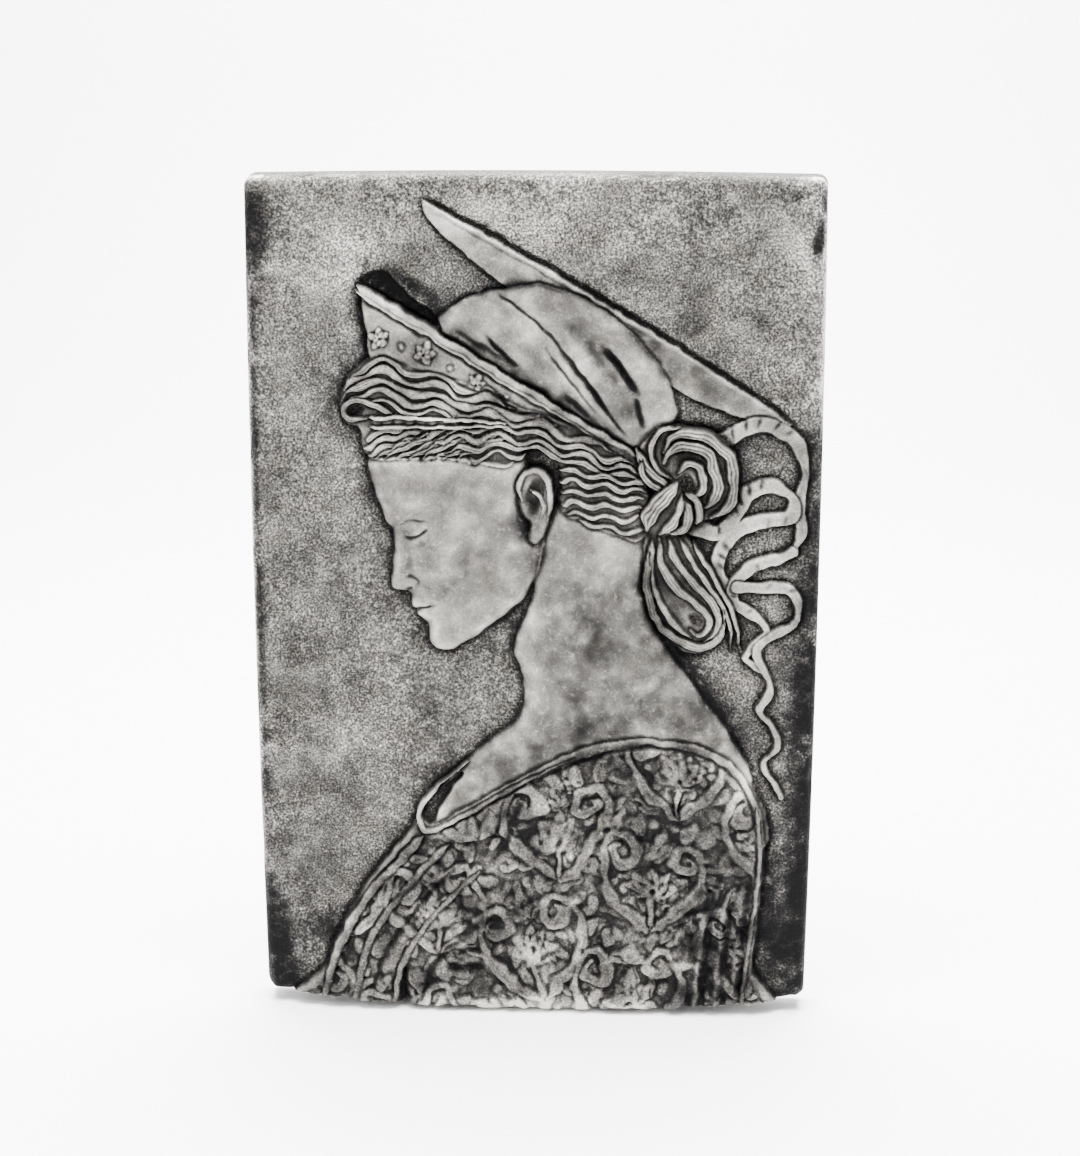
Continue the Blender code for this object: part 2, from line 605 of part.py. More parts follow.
def carve(relief):
    """The figure from back to front."""
    carve_halo(relief)
    carve_ribbons(relief)
    carve_neck(relief)
    carve_cap(relief)
    carve_crown(relief)
    carve_face(relief)
    carve_tail(relief)
    carve_hair(relief)
    carve_ear(relief)
    carve_knot(relief)
    carve_dress(relief)
    carve_collar(relief)


def spread(half, edge, pitch):
    """Places across the slab: close together over the rounded edge and even in between."""
    turn = np.linspace(0, math.pi / 2, 5)
    rim = half - edge * (1 - np.cos(turn))
    inner = half - edge
    even = np.linspace(-inner, inner, max(8, int(2 * inner / pitch)))
    return np.r_[-rim[:-1], even, rim[:-1][::-1]]


def slab_places():
    """The grid of places over the face, and how far each lies inside the edge."""
    half_width = PLAQUE_WIDTH / 2
    half_height = PLAQUE_HEIGHT / 2
    u = spread(half_width, EDGE_ROUNDING, CARVING_PITCH)
    v = spread(half_height, EDGE_ROUNDING, CARVING_PITCH)
    u, v = np.meshgrid(u, v)
    inside = np.minimum(half_width - np.abs(u), half_height - np.abs(v))
    # the corners are rounded by drawing each square ring in to a quarter circle
    a = np.clip(np.abs(u) - (half_width - CORNER_RADIUS), 0, None)
    b = np.clip(np.abs(v) - (half_height - CORNER_RADIUS), 0, None)
    drawn_in = np.where(a * b > 0, np.maximum(a, b) / np.maximum(np.hypot(a, b), 1e-12), 1)
    x = np.sign(u) * (np.abs(u) - a + a * drawn_in)
    z = np.sign(v) * (np.abs(v) - b + b * drawn_in)
    # the sides bow out, the top edge rises and the bottom edge hangs
    x = x * (1 + SIDE_BOW / half_width * (1 - (v / half_height) ** 2))
    arch = 1 - (u / half_width) ** 2
    z = z + arch * np.where(v > 0, TOP_RISE, BOTTOM_DROP) * v / half_height
    return x, z, inside


def face_sheet():
    """The carved face as an open sheet, with only as many triangles as it needs."""
    x, z, inside = slab_places()
    scale = FIGURE_HEIGHT / DRAWN_HEIGHT
    foot = -PLAQUE_HEIGHT / 2 - BOTTOM_DROP + 0.001
    drawn_x = (x - FIGURE_SHIFT) / scale
    drawn_z = (z - foot) / scale + DRAWN_FOOT
    relief = Relief(drawn_x, drawn_z, CARVING_PITCH / scale)
    carve(relief)
    relief.h = 0.4 * relief.h + 0.6 * soften(relief.h, 1, 1)
    swell = FACE_SWELL * (1 - (2 * x / PLAQUE_WIDTH) ** 2) * (1 - (2 * z / PLAQUE_HEIGHT) ** 2)
    height = GROUND_THICKNESS + np.clip(swell, 0, None) + relief.h * RELIEF_HEIGHT / DRAWN_DEPTH
    height = height - EDGE_ROUNDING * (1 - round_over(inside / EDGE_ROUNDING))
    rows, cols = x.shape
    places = np.stack([x, -height, z], -1).reshape(-1, 3)
    corner = (np.arange(rows - 1)[:, None] * cols + np.arange(cols - 1)).ravel()
    quads = np.stack([corner, corner + 1, corner + cols + 1, corner + cols], -1)
    mesh = bpy.data.meshes.new("face")
    mesh.from_pydata(places.tolist(), [], quads.tolist())
    sheet = bpy.data.objects.new("face", mesh)
    bpy.context.scene.collection.objects.link(sheet)
    fewer = sheet.modifiers.new("Fewer triangles", "DECIMATE")
    fewer.ratio = min(1.0, FACE_TRIANGLES / (2 * len(quads)))
    fewer.use_collapse_triangulate = True
    graph = bpy.context.evaluated_depsgraph_get()
    result = bpy.data.meshes.new_from_object(sheet.evaluated_get(graph))
    bpy.data.objects.remove(sheet)
    return result


def make_slab(material):
    """The face, closed by the leaning sides and one flat back."""
    bm = bmesh.new()
    bm.from_mesh(face_sheet())
    rim = [e for e in bm.edges if e.is_boundary]
    sides = bmesh.ops.extrude_edge_only(bm, edges=rim)["geom"]
    back = [g for g in sides if isinstance(g, bmesh.types.BMVert)]
    for v in back:
        v.co.x *= 1 + 2 * SIDE_DRAFT / PLAQUE_WIDTH
        v.co.z *= 1 + 2 * SIDE_DRAFT / PLAQUE_HEIGHT
        v.co.y = 0
    back_rim = [g for g in sides if isinstance(g, bmesh.types.BMEdge) and g.is_boundary]
    bmesh.ops.contextual_create(bm, geom=back_rim)
    bmesh.ops.recalc_face_normals(bm, faces=bm.faces)
    mesh = bpy.data.meshes.new("plaque")
    bm.to_mesh(mesh)
    bm.free()
    mesh.materials.append(material)
    mesh.shade_smooth()
    mesh.set_sharp_from_angle(angle=math.radians(30))
    plaque = bpy.data.objects.new("plaque", mesh)
    bpy.context.scene.collection.objects.link(plaque)
    return plaque


def cut_hanger(plaque):
    """The recess that takes a hook or a nail head."""
    mesh = bpy.data.meshes.new("hanger_cutter")
    bm = bmesh.new()
    bmesh.ops.create_cube(bm, size=1)
    bmesh.ops.scale(bm, vec=(HANGER_WIDTH, 2 * HANGER_DEPTH, HANGER_HEIGHT), verts=bm.verts)
    bm.to_mesh(mesh)
    bm.free()
    cutter = bpy.data.objects.new("hanger_cutter", mesh)
    cutter.location = (0, 0, PLAQUE_HEIGHT / 2 + TOP_RISE - HANGER_DROP)
    cutter.hide_render = True
    cutter.display_type = "WIRE"
    bpy.context.scene.collection.objects.link(cutter)
    cut = plaque.modifiers.new("Hanging recess", "BOOLEAN")
    cut.operation = "DIFFERENCE"
    cut.solver = "EXACT"
    cut.object = cutter


def cast_stone():
    material = bpy.data.materials.new("cast_stone")
    material.use_nodes = True
    shader = material.node_tree.nodes["Principled BSDF"]
    shader.inputs["Base Color"].default_value = (0.47, 0.45, 0.42, 1)
    shader.inputs["Roughness"].default_value = 0.75
    shader.inputs["Metallic"].default_value = 0.0
    return material


def main():
    for thing in list(bpy.data.objects):
        bpy.data.objects.remove(thing)
    plaque = make_slab(cast_stone())
    cut_hanger(plaque)


main()
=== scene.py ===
import math

import bmesh
import bpy
import numpy as np
from mathutils import Matrix, Vector


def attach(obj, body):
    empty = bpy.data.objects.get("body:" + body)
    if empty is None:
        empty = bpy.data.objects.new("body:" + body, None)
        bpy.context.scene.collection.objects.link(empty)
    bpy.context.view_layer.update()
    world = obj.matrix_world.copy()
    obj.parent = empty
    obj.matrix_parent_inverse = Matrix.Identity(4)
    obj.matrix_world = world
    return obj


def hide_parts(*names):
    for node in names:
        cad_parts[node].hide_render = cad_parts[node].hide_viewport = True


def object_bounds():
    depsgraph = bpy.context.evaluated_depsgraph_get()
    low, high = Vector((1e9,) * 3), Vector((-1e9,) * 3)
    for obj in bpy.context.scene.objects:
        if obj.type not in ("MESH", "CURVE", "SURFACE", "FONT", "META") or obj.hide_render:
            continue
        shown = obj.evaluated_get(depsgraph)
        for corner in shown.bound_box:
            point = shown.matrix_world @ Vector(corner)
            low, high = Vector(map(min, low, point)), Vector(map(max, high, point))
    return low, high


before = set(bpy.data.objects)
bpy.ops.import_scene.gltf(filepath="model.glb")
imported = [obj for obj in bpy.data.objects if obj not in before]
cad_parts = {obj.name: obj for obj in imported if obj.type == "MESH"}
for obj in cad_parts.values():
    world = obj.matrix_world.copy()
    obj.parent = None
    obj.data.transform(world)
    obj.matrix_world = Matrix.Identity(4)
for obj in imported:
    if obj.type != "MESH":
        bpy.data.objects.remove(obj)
cadBox = [list(corner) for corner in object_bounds()]
print("frame loaded")

# The figure is drawn in millimetres on the carved face, X to the right and Z up from its middle.
# Heights stand out of the plain ground, and a height below zero is cut in.
slab = {
    "width": 300.0, "height": 450.0, "topRise": 1.5, "bottomDrop": 7.0, "sideBow": 1.5,
    "ground": 21.0, "swell": 1.2, "corner": 5.0, "edge": 4.5, "draft": 1.15,
    "pitch": 0.5, "gridX": (-153, 153.01), "gridZ": (-235, 233.01), "triangles": 190000,
    "hangerWidth": 30.0, "hangerHeight": 14.0, "hangerDepth": 11.0, "hangerZ": 171.5,
}


def ease(t):
    t = np.clip(t, 0, 1)
    return t * t * (3 - 2 * t)


def roundOver(t):
    return np.sqrt(1 - (1 - np.clip(t, 0, 1)) ** 2)


def evenly(line, spacing):
    line = np.array(line, float)
    run = np.r_[0, np.cumsum(np.hypot(*np.diff(line, axis=0).T))]
    at = np.linspace(0, run[-1], max(3, int(run[-1] / spacing) + 1))
    return np.c_[np.interp(at, run, line[:, 0]), np.interp(at, run, line[:, 1])]


def smoothLine(points, closed=False, spacing=1.2):
    # a curve through the points
    p = np.array(points, float)
    before = p[-1:] if closed else 2 * p[:1] - p[1:2]
    after = p[:2] if closed else 2 * p[-1:] - p[-2:-1]
    p = np.vstack([before, p, after])
    spans = []
    for a, b, c, d in zip(p[:-3], p[1:-2], p[2:-1], p[3:]):
        steps = max(2, int(math.hypot(*(c - b)) / spacing * 1.5))
        t = np.linspace(0, 1, steps, endpoint=False)[:, None]
        bend = (2 * a - 5 * b + 4 * c - d) * t ** 2 + (3 * b - a - 3 * c + d) * t ** 3
        spans.append(0.5 * (2 * b + (c - a) * t + bend))
    return evenly(np.vstack(spans + [p[-2:-1]]), spacing)


def spiral(x, z, radius, start, hand, turns, close):
    t = np.linspace(0, 1, 28)
    a = math.radians(start) + hand * 2 * math.pi * turns * t
    r = radius * (1 - close * t)
    return np.c_[x + r * np.cos(a), z + r * np.sin(a)]


def turned(x, z, turn):
    # how far along and across axes turned by so many degrees
    c, s = math.cos(math.radians(turn)), math.sin(math.radians(turn))
    return x * c + z * s, z * c - x * s


def soften(field, reach):
    # the field averaged over its neighbourhood, reach in millimetres
    cells = max(1, int(round(reach / slab["pitch"])))
    wide = 2 * cells + 1
    for axis in (0, 1, 0, 1):
        pad = [(0, 0), (0, 0)]
        pad[axis] = (cells + 1, cells)
        total = np.cumsum(np.pad(field, pad, mode="edge"), axis=axis)
        if axis:
            field = (total[:, wide:] - total[:, :-wide]) / wide
        else:
            field = (total[wide:] - total[:-wide]) / wide
    return field


class Relief:
    # the carved height at each place of an even grid
    def __init__(self, x, z):
        self.xs, self.zs = x, z
        self.x, self.z = np.meshgrid(x, z)
        self.h = np.zeros(self.x.shape)
        # where fine lines part the strands, for the dirt to settle in, and the painted shade on the
        # ribbons' rounded edges and in their creases
        self.lines = np.zeros(self.x.shape)

    def window(self, low, high):
        c0, c1 = np.searchsorted(self.xs, (low[0], high[0]))
        r0, r1 = np.searchsorted(self.zs, (low[1], high[1]))
        return (slice(r0, r1), slice(c0, c1)) if r1 > r0 and c1 > c0 else None

    def around(self, x, z, reach, turn):
        # near the place: the window, and how far along and across the turned axes it runs
        w = self.window((x - reach, z - reach), (x + reach, z + reach))
        return (w, *turned(self.x[w] - x, self.z[w] - z, turn)) if w else (None, 0, 0)

    def along(self, path, reach):
        # near the path: the window, the distance to it, the share of the way and the side of it
        w = self.window(path.min(0) - reach, path.max(0) + reach)
        if w is None:
            return None
        shape = self.x[w].shape
        best = np.full(shape, 1e9)
        share = np.zeros(shape)
        side = np.zeros(shape)
        steps = np.hypot(*np.diff(path, axis=0).T)
        total = steps.sum()
        run = 0.0
        for a, b, step in zip(path[:-1], path[1:], steps):
            near = self.window(np.minimum(a, b) - reach, np.maximum(a, b) + reach)
            if step > 1e-9 and near is not None:
                s = tuple(slice(n.start - o.start, n.stop - o.start) for n, o in zip(near, w))
                u = (b - a) / step
                dx, dz = self.x[near] - a[0], self.z[near] - a[1]
                t = np.clip(dx * u[0] + dz * u[1], 0, step)
                d = np.hypot(dx - t * u[0], dz - t * u[1])
                closer = d < best[s]
                best[s] = np.where(closer, d, best[s])
                share[s] = np.where(closer, (run + t) / total, share[s])
                side[s] = np.where(closer, np.sign(u[0] * dz - u[1] * dx), side[s])
            run += step
        return w, best, share, side

    def depthInside(self, outline, reach):
        # how far inside the closed outline each place lies, below zero outside it
        path = np.vstack([outline, outline[:1]])
        w, d, _, _ = self.along(path, reach)
        x, z = self.x[w], self.z[w]
        odd = np.zeros(x.shape, bool)
        for a, b in zip(path[:-1], path[1:]):
            if a[1] != b[1]:
                rows = slice(*np.searchsorted(z[:, 0], sorted((a[1], b[1]))))
                crossing = (b[0] - a[0]) * (z[rows] - a[1]) / (b[1] - a[1]) + a[0]
                odd[rows] ^= x[rows] < crossing
        return w, np.where(odd, 1, -1) * np.minimum(d, reach)

    def mass(self, outline, level, edge, dome, reach, gutter, gutterWidth):
        # a raised form, rounded over its edge and swelling inwards, with a gutter cut round it
        w, inside = self.depthInside(outline, max(edge, gutterWidth * 3))
        swell = ease(2 * soften((inside > 0).astype(float), reach / 2) - 1) if dome else 0
        up = (level + dome * swell) * roundOver(inside / edge)
        cut = self.h[w] - gutter * np.exp(-(inside / gutterWidth) ** 2)
        self.h[w] = np.where(inside > 0, np.maximum(self.h[w], up), cut)

    def hollow(self, outline, floor, edge):
        w, inside = self.depthInside(outline, max(edge, 4.0))
        share = ease(inside / edge)
        lowered = np.minimum(self.h[w], floor * share + self.h[w] * (1 - share))
        self.h[w] = np.where(inside > 0, lowered, self.h[w])

    def stroke(self, line, width, height, ends):
        # a soft ridge along the line, or a groove; ends is the share over which each end fades
        found = self.along(line, width * 3)
        if found is not None:
            w, d, s, _ = found
            self.h[w] += height * np.exp(-(d / width) ** 2) * ease(np.minimum(s, 1 - s) / ends)

    def lock(self, line, halfWidth, base, crown, gap, root, tip, strands=1, gapWidth=0.9):
        # a rounded lock or cord over what is there, parted into strands, with a sunk gap along
        # both sides; root and tip are the shares of its length over which it swells and tapers
        line = np.array(line, float)
        wide = np.broadcast_to(np.array(halfWidth, float), len(line))
        found = self.along(line, wide.max() + gapWidth * 3)
        if found is None:
            return
        w, d, s, side = found
        half = np.interp(s, np.linspace(0, 1, len(line)), wide)
        high = crown * np.sqrt(half / wide.max())
        half = half * (0.25 + 0.75 * ease(s / root)) * (0.2 + 0.8 * ease((1 - s) / tip))
        u = d / half
        top = base + high * np.sqrt(np.clip(1 - u * u, 0, 1))
        parted = 0.0
        if strands > 1:
            parted = 1 - np.abs(np.sin(math.pi * strands * (u * side + 1) / 2))
            top = top - 0.5 * high * parted ** 1.3
        outside = np.clip(d - half, 0, None)
        cut = self.h[w] - gap * np.exp(-(outside / gapWidth) ** 2)
        cut = np.where(outside < gapWidth * 3, cut, self.h[w])
        self.h[w] = np.where(d < half, top, cut)
        self.lines[w] = np.where(d < half, parted, self.lines[w])

    def bump(self, x, z, across, up, height, turn=0.0, power=1.0):
        # a soft dome, or a dent; a higher power makes its top flatter and its side steeper
        w, u, v = self.around(x, z, max(across, up) * 2.4, turn)
        if w:
            self.h[w] += height * np.exp(-((u / across) ** 2 + (v / up) ** 2) ** power)

    def petal(self, x, z, length, width, turn, height, rim, vein, base):
        # a domed leaf from its foot at (x, z), pointed at its tip, with a sunk line round it
        w, u, v = self.around(x, z, length + 3, turn)
        if w is None:
            return
        u, v = u / length, v / (0.5 * width)
        belly = np.sqrt(np.clip(u * (1 - u), 0, 1)) * 2 * (1.15 - 0.35 * u)
        r = np.sqrt((2 * u - 1) ** 4 + (v / np.maximum(belly, 0.35)) ** 2)
        line = 1.1 / (0.5 * width)
        up = height * np.sqrt(np.clip(1 - r * r, 0, 1))
        if vein:
            up = up - vein * np.exp(-(v / 0.22) ** 2) * ease(u / 0.2) * ease((0.95 - u) / 0.2)
        cut = self.h[w] - rim * np.exp(-((r - 1) / line) ** 2)
        laid = np.maximum(self.h[w] + 0.25 * up, np.minimum(self.h[w], base) + up)
        self.h[w] = np.where(r < 1, laid, np.where(r < 1 + 2.5 * line, cut, self.h[w]))

    def unsteady(self, amount, reach, seed):
        # the lines wander a little, as a hand-cut line does
        right, up = amount * cloudy(self, seed, reach), amount * cloudy(self, seed + 1, reach)
        self.h = sample(self.h, self, self.x + right, self.z + up)
        self.lines = sample(self.lines, self, self.x + right, self.z + up)


def cloudy(relief, seed, reach):
    # even noise, soft over the reach given in millimetres, with a spread of one
    field = soften(np.random.default_rng(seed).standard_normal(relief.h.shape), reach)
    return field / field.std()


def sample(field, relief, x, z):
    # the field's value at any place, straight between its grid's places
    c = np.clip((x - relief.xs[0]) / slab["pitch"], 0, len(relief.xs) - 1.001)
    r = np.clip((z - relief.zs[0]) / slab["pitch"], 0, len(relief.zs) - 1.001)
    c0, r0 = c.astype(int), r.astype(int)
    c, r = c - c0, r - r0
    low = field[r0, c0] * (1 - c) + field[r0, c0 + 1] * c
    high = field[r0 + 1, c0] * (1 - c) + field[r0 + 1, c0 + 1] * c
    return low * (1 - r) + high * r


def carveForm(relief, piece):
    # a raised form and the lines over it: points, width, height and fading ends
    relief.mass(smoothLine(piece["outline"], True), **piece["form"])
    for points, width, height, ends in piece.get("lines", ()):
        relief.stroke(smoothLine(points), width, height, ends)


def layLocks(relief, locks, cut):
    for points, half, base, strands in locks:
        relief.lock(smoothLine(points), half, base, strands=strands, **cut)


def between(piece, front, back):
    # two ends as places, and the way that is down from the line between them
    a, b = np.array(piece[front], float), np.array(piece[back], float)
    return a, b, np.array([b[1] - a[1], a[0] - b[0]]) / np.hypot(*(b - a))


# A thin disc seen nearly from its edge, hanging below the line between its tips
halo = {
    "front": (-58, 214), "back": (136, 98), "sag": 17.5, "bow": 3.5,
    "form": {"level": 2.2, "edge": 1.3, "dome": 0.2, "reach": 6, "gutter": 1.6, "gutterWidth": 1.1},
    # lines along its upper edge: how far below it, width, height, fading ends, share of the edge
    "lines": ((-1.7, 1.15, -2.6, 0.05, 1), (0.9, 0.9, 1.0, 0.05, 1), (2.9, 0.6, -0.5, 0.2, 2 / 3)),
}


def carveHalo(relief):
    a, b, down = between(halo, "front", "back")
    s = np.linspace(0, 1, 61)[:, None]
    straight = a + s * (b - a)
    arc = straight + halo["sag"] * np.sqrt(np.clip(1 - (2 * s - 1) ** 2, 0, 1)) * down
    edge = straight - 4 * halo["bow"] * s * (1 - s) * down
    relief.mass(np.vstack([arc, edge[::-1][1:-1]]), **halo["form"])
    for below, width, height, ends, share in halo["lines"]:
        relief.stroke(edge[:int(len(edge) * share)] + down * below, width, height, ends)


neck = {
    "outline": [(58, 50), (59, 10), (62, -6), (72, -24), (86, -43), (100, -62), (111, -80),
        (119, -98), (120, -140), (0, -160), (-58, -135), (-62, -121), (-55, -109), (-42, -93),
        (-29, -80), (-17, -71), (-9, -64), (-5.5, -54), (-6, -40), (-9, -30), (-10, -20), (0, 10),
        (0, 50)],
    "form": {"level": 4.2, "edge": 5, "dome": 2.0, "reach": 32, "gutter": 1.4, "gutterWidth": 2.0},
    "lines": (
        ([(22, -8), (16, -38), (4, -62)], 7, -0.5, 0.3),
        ([(34, 18), (26, -12), (12, -48), (-6, -76)], 6, 0.7, 0.3),
        ([(-52, -114), (-32, -96), (0, -86), (36, -76)], 5, 0.7, 0.3),
        ([(61, 6), (77, -22), (97, -52), (114, -84)], 1.4, -0.7, 0.1),
        ([(2, -44), (30, -52), (62, -50)], 3.0, -0.25, 0.4),
    ),
}

# the cap's lines are first its rolls and then the folds between them
cap = {
    "outline": [(-50, 152), (-44, 158), (-34, 164), (-20, 168), (-4, 171), (8, 170.5), (22, 166),
        (36, 158.5), (49, 148.5), (60, 137), (68.5, 124), (74, 111), (74, 101), (69, 94), (62, 88),
        (57, 82), (40, 85), (0, 110), (-40, 140)],
    "form": {"level": 4.6, "edge": 6, "dome": 2.8, "reach": 30, "gutter": 1.5, "gutterWidth": 1.4},
    "lines": (
        ([(-14, 156), (2, 139), (20, 119), (38, 100)], 3.0, 0.9, 0.3),
        ([(14, 150), (32, 128), (45, 110), (53, 93)], 4.0, 1.2, 0.3),
        ([(50, 138), (61, 122), (65, 106)], 4.5, 0.9, 0.3),
        ([(-28, 154), (-12, 138), (6, 121)], 3.0, 0.7, 0.3),
        ([(-21, 168), (-6, 158), (8, 146), (24, 126), (38, 106), (50, 91)], 0.9, -1.7, 0.08),
        ([(4, 141), (16, 126), (27, 112), (37, 100)], 0.9, -1.4, 0.3),
        ([(10, 142), (22, 127), (33, 112), (42, 99)], 1.5, -1.6, 0.3),
        ([(-27, 147), (-16, 136), (-6, 127)], 1.0, -2.2, 0.35),
        ([(32, 143), (43, 131), (51, 120), (57, 111)], 1.7, -4.2, 0.4),
        ([(52, 114), (55, 105), (57, 96)], 1.3, -2.2, 0.3),
        ([(13, 118), (24, 107), (33, 98)], 1.3, -2.0, 0.4),
        ([(-44, 149), (-28, 140), (-12, 131)], 1.4, -1.3, 0.3),
        ([(-16, 124), (0, 116), (18, 106)], 2.4, -1.5, 0.4),
    ),
}

crown = {
    "tip": (-91, 171), "back": (56, 82.5),
    "face": [(-91, 170), (-88.5, 150), (-85, 128), (-60, 112), (-20, 96), (30, 84), (56, 80),
        (56, 83)],
    "form": {"level": 4.6, "edge": 1.8, "dome": 0.6, "reach": 12,
             "gutter": 1.8, "gutterWidth": 1.9},
    "hollow": [(-92, 172), (-86, 177), (-79, 178.5), (-72, 174), (-63, 164.5), (-52, 156),
        (-46, 147), (-60, 150), (-76, 160)],
    "hollowFloor": -2.8, "hollowEdge": 2.0,
    # below its straight edge: a groove, and two cords with their half width, base, crown and gap
    "groove": (5.7, 0.9, -1.6, 0.03),
    "cords": ((1.5, 1.8, 5.2, 1.7, 1.8, 0.9), (4.1, 1.0, 5.0, 1.1, 0.7, 0.6)),
    # each flower's place, size and turn, and its petals' leans and shares of that size
    "flowers": ((-79.5, 143, 7.0, 78), (-57, 134.5, 7.0, -24), (-30, 119.5, 5.6, -26)),
    "petals": ((-125, 0.75), (125, 0.75), (-64, 0.95), (64, 0.95), (0, 1.15)),
    "petalWidth": 0.62, "petalCut": {"height": 1.3, "rim": 1.0, "vein": 0.0, "base": 5.2},
    "pearls": ((-69, 138.5, 1.5), (-43, 127.5, 1.3), (-14, 113, 1.3)),
}


def carveCrown(relief):
    relief.hollow(smoothLine(crown["hollow"], True), crown["hollowFloor"], crown["hollowEdge"])
    relief.mass(evenly(crown["face"], 2), **crown["form"])
    a, b, down = between(crown, "tip", "back")
    rim = evenly([a, b], 3)
    below, width, height, ends = crown["groove"]
    relief.stroke(rim + down * below, width, height, ends)
    for below, half, base, high, gap, gapWidth in crown["cords"]:
        relief.lock(rim + down * below, half, base, high, gap, 0.02, 0.04, gapWidth=gapWidth)
    for x, z, size, turn in crown["flowers"]:
        for lean, share in crown["petals"]:
            width = crown["petalWidth"] * size
            relief.petal(x, z, size * share, width, turn + 90 + lean, **crown["petalCut"])
        relief.bump(x, z, 0.24 * size, 0.24 * size, 1.0)
    for x, z, size in crown["pearls"]:
        relief.bump(x, z, size * 1.9, size * 1.9, -1.2, 0, 2)
        relief.bump(x, z, size, size, 2.4)


# Places on the head are shares of the face's length: down its line, and in front of it.
face = {
    "hairline": (-88, 84), "tilt": 19.0, "length": 117.0,
    "outline": [(-0.06, -0.01), (0.0, 0.0), (0.08, 0.018), (0.18, 0.03), (0.27, 0.03),
        (0.335, 0.03), (0.385, 0.012), (0.43, 0.022), (0.5, 0.052), (0.57, 0.086), (0.622, 0.113),
        (0.642, 0.112), (0.66, 0.088), (0.672, 0.052), (0.69, 0.036), (0.715, 0.039),
        (0.742, 0.05), (0.757, 0.045), (0.768, 0.03), (0.782, 0.038), (0.8, 0.04), (0.822, 0.022),
        (0.85, 0.008), (0.885, 0.014), (0.925, 0.024), (0.962, 0.018), (0.99, -0.01),
        (0.998, -0.07), (0.985, -0.14), (0.955, -0.24), (0.925, -0.33), (0.87, -0.45),
        (0.76, -0.565), (0.6, -0.64), (0.42, -0.66), (0.2, -0.66), (-0.1, -0.6), (-0.14, -0.1)],
    "form": {"level": 5.4, "edge": 4.5, "dome": 2.2, "reach": 34,
             "gutter": 1.5, "gutterWidth": 1.7},
    "lines": (
        # brow and lowered eye
        ([(0.34, 0.0), (0.315, -0.05), (0.312, -0.11), (0.335, -0.17)], 2.6, 0.55, 0.25),
        ([(0.375, -0.025), (0.362, -0.06), (0.372, -0.115), (0.392, -0.15)], 0.7, -0.7, 0.2),
        ([(0.425, -0.022), (0.442, -0.055), (0.440, -0.10), (0.418, -0.142)], 0.85, -1.5, 0.2),
        ([(0.415, -0.02), (0.430, -0.055), (0.428, -0.10), (0.408, -0.14)], 0.7, 0.5, 0.2),
        ([(0.475, -0.03), (0.485, -0.07), (0.470, -0.12)], 1.6, -0.3, 0.3),
        # nose
        ([(0.40, 0.0), (0.50, 0.028), (0.60, 0.068), (0.63, 0.09)], 2.4, 0.6, 0.2),
        ([(0.42, -0.018), (0.52, -0.012), (0.60, 0.0)], 2.2, -0.6, 0.3),
        ([(0.612, 0.030), (0.610, 0.0), (0.640, -0.022), (0.668, -0.008)], 0.8, -1.0, 0.2),
        ([(0.668, 0.052), (0.662, 0.030), (0.668, 0.012)], 0.9, -1.8, 0.3),
        ([(0.665, -0.03), (0.71, -0.055), (0.755, -0.07)], 2.2, -0.4, 0.4),
        # lips and chin
        ([(0.766, 0.036), (0.764, 0.010), (0.770, -0.022), (0.768, -0.042)], 0.75, -1.5, 0.12),
        ([(0.838, 0.012), (0.836, -0.012), (0.828, -0.03)], 2.0, -0.6, 0.3),
    ),
    # domes and dents: place, half length, half height, height and lean from the head's tilt
    "domes": (
        (0.395, -0.045, 8.5, 5.0, -1.7, 0), (0.405, -0.072, 6.0, 3.8, 2.1, -8),  # eye
        (0.640, 0.022, 4.4, 3.4, 1.4, 0),  # nostril
        (0.745, 0.018, 4.8, 1.9, 0.8, 4), (0.792, 0.012, 4.4, 2.0, 0.8, -4),  # lips
        (0.774, -0.048, 1.9, 1.9, -0.7, 0), (0.915, -0.01, 5.5, 4.5, 0.6, 0),  # corner, chin
        (0.56, -0.22, 17, 14, 1.0, 0), (0.30, -0.28, 14, 12, -0.5, 0),  # cheek, temple
        (0.72, -0.24, 12, 12, -0.35, 0),  # jaw
    ),
}


def onFace(down, forward):
    tilt = math.radians(face["tilt"])
    x = face["hairline"][0] + face["length"] * (down * math.sin(tilt) - forward * math.cos(tilt))
    z = face["hairline"][1] - face["length"] * (down * math.cos(tilt) + forward * math.sin(tilt))
    return x, z


def carveFace(relief):
    outline = smoothLine([onFace(*p) for p in face["outline"]], True, 1.0)
    relief.mass(outline, **face["form"])
    for points, width, height, ends in face["lines"]:
        relief.stroke(smoothLine([onFace(*p) for p in points], False, 0.8), width, height, ends)
    for down, forward, across, up, height, lean in face["domes"]:
        relief.bump(*onFace(down, forward), across, up, height, lean - face["tilt"])


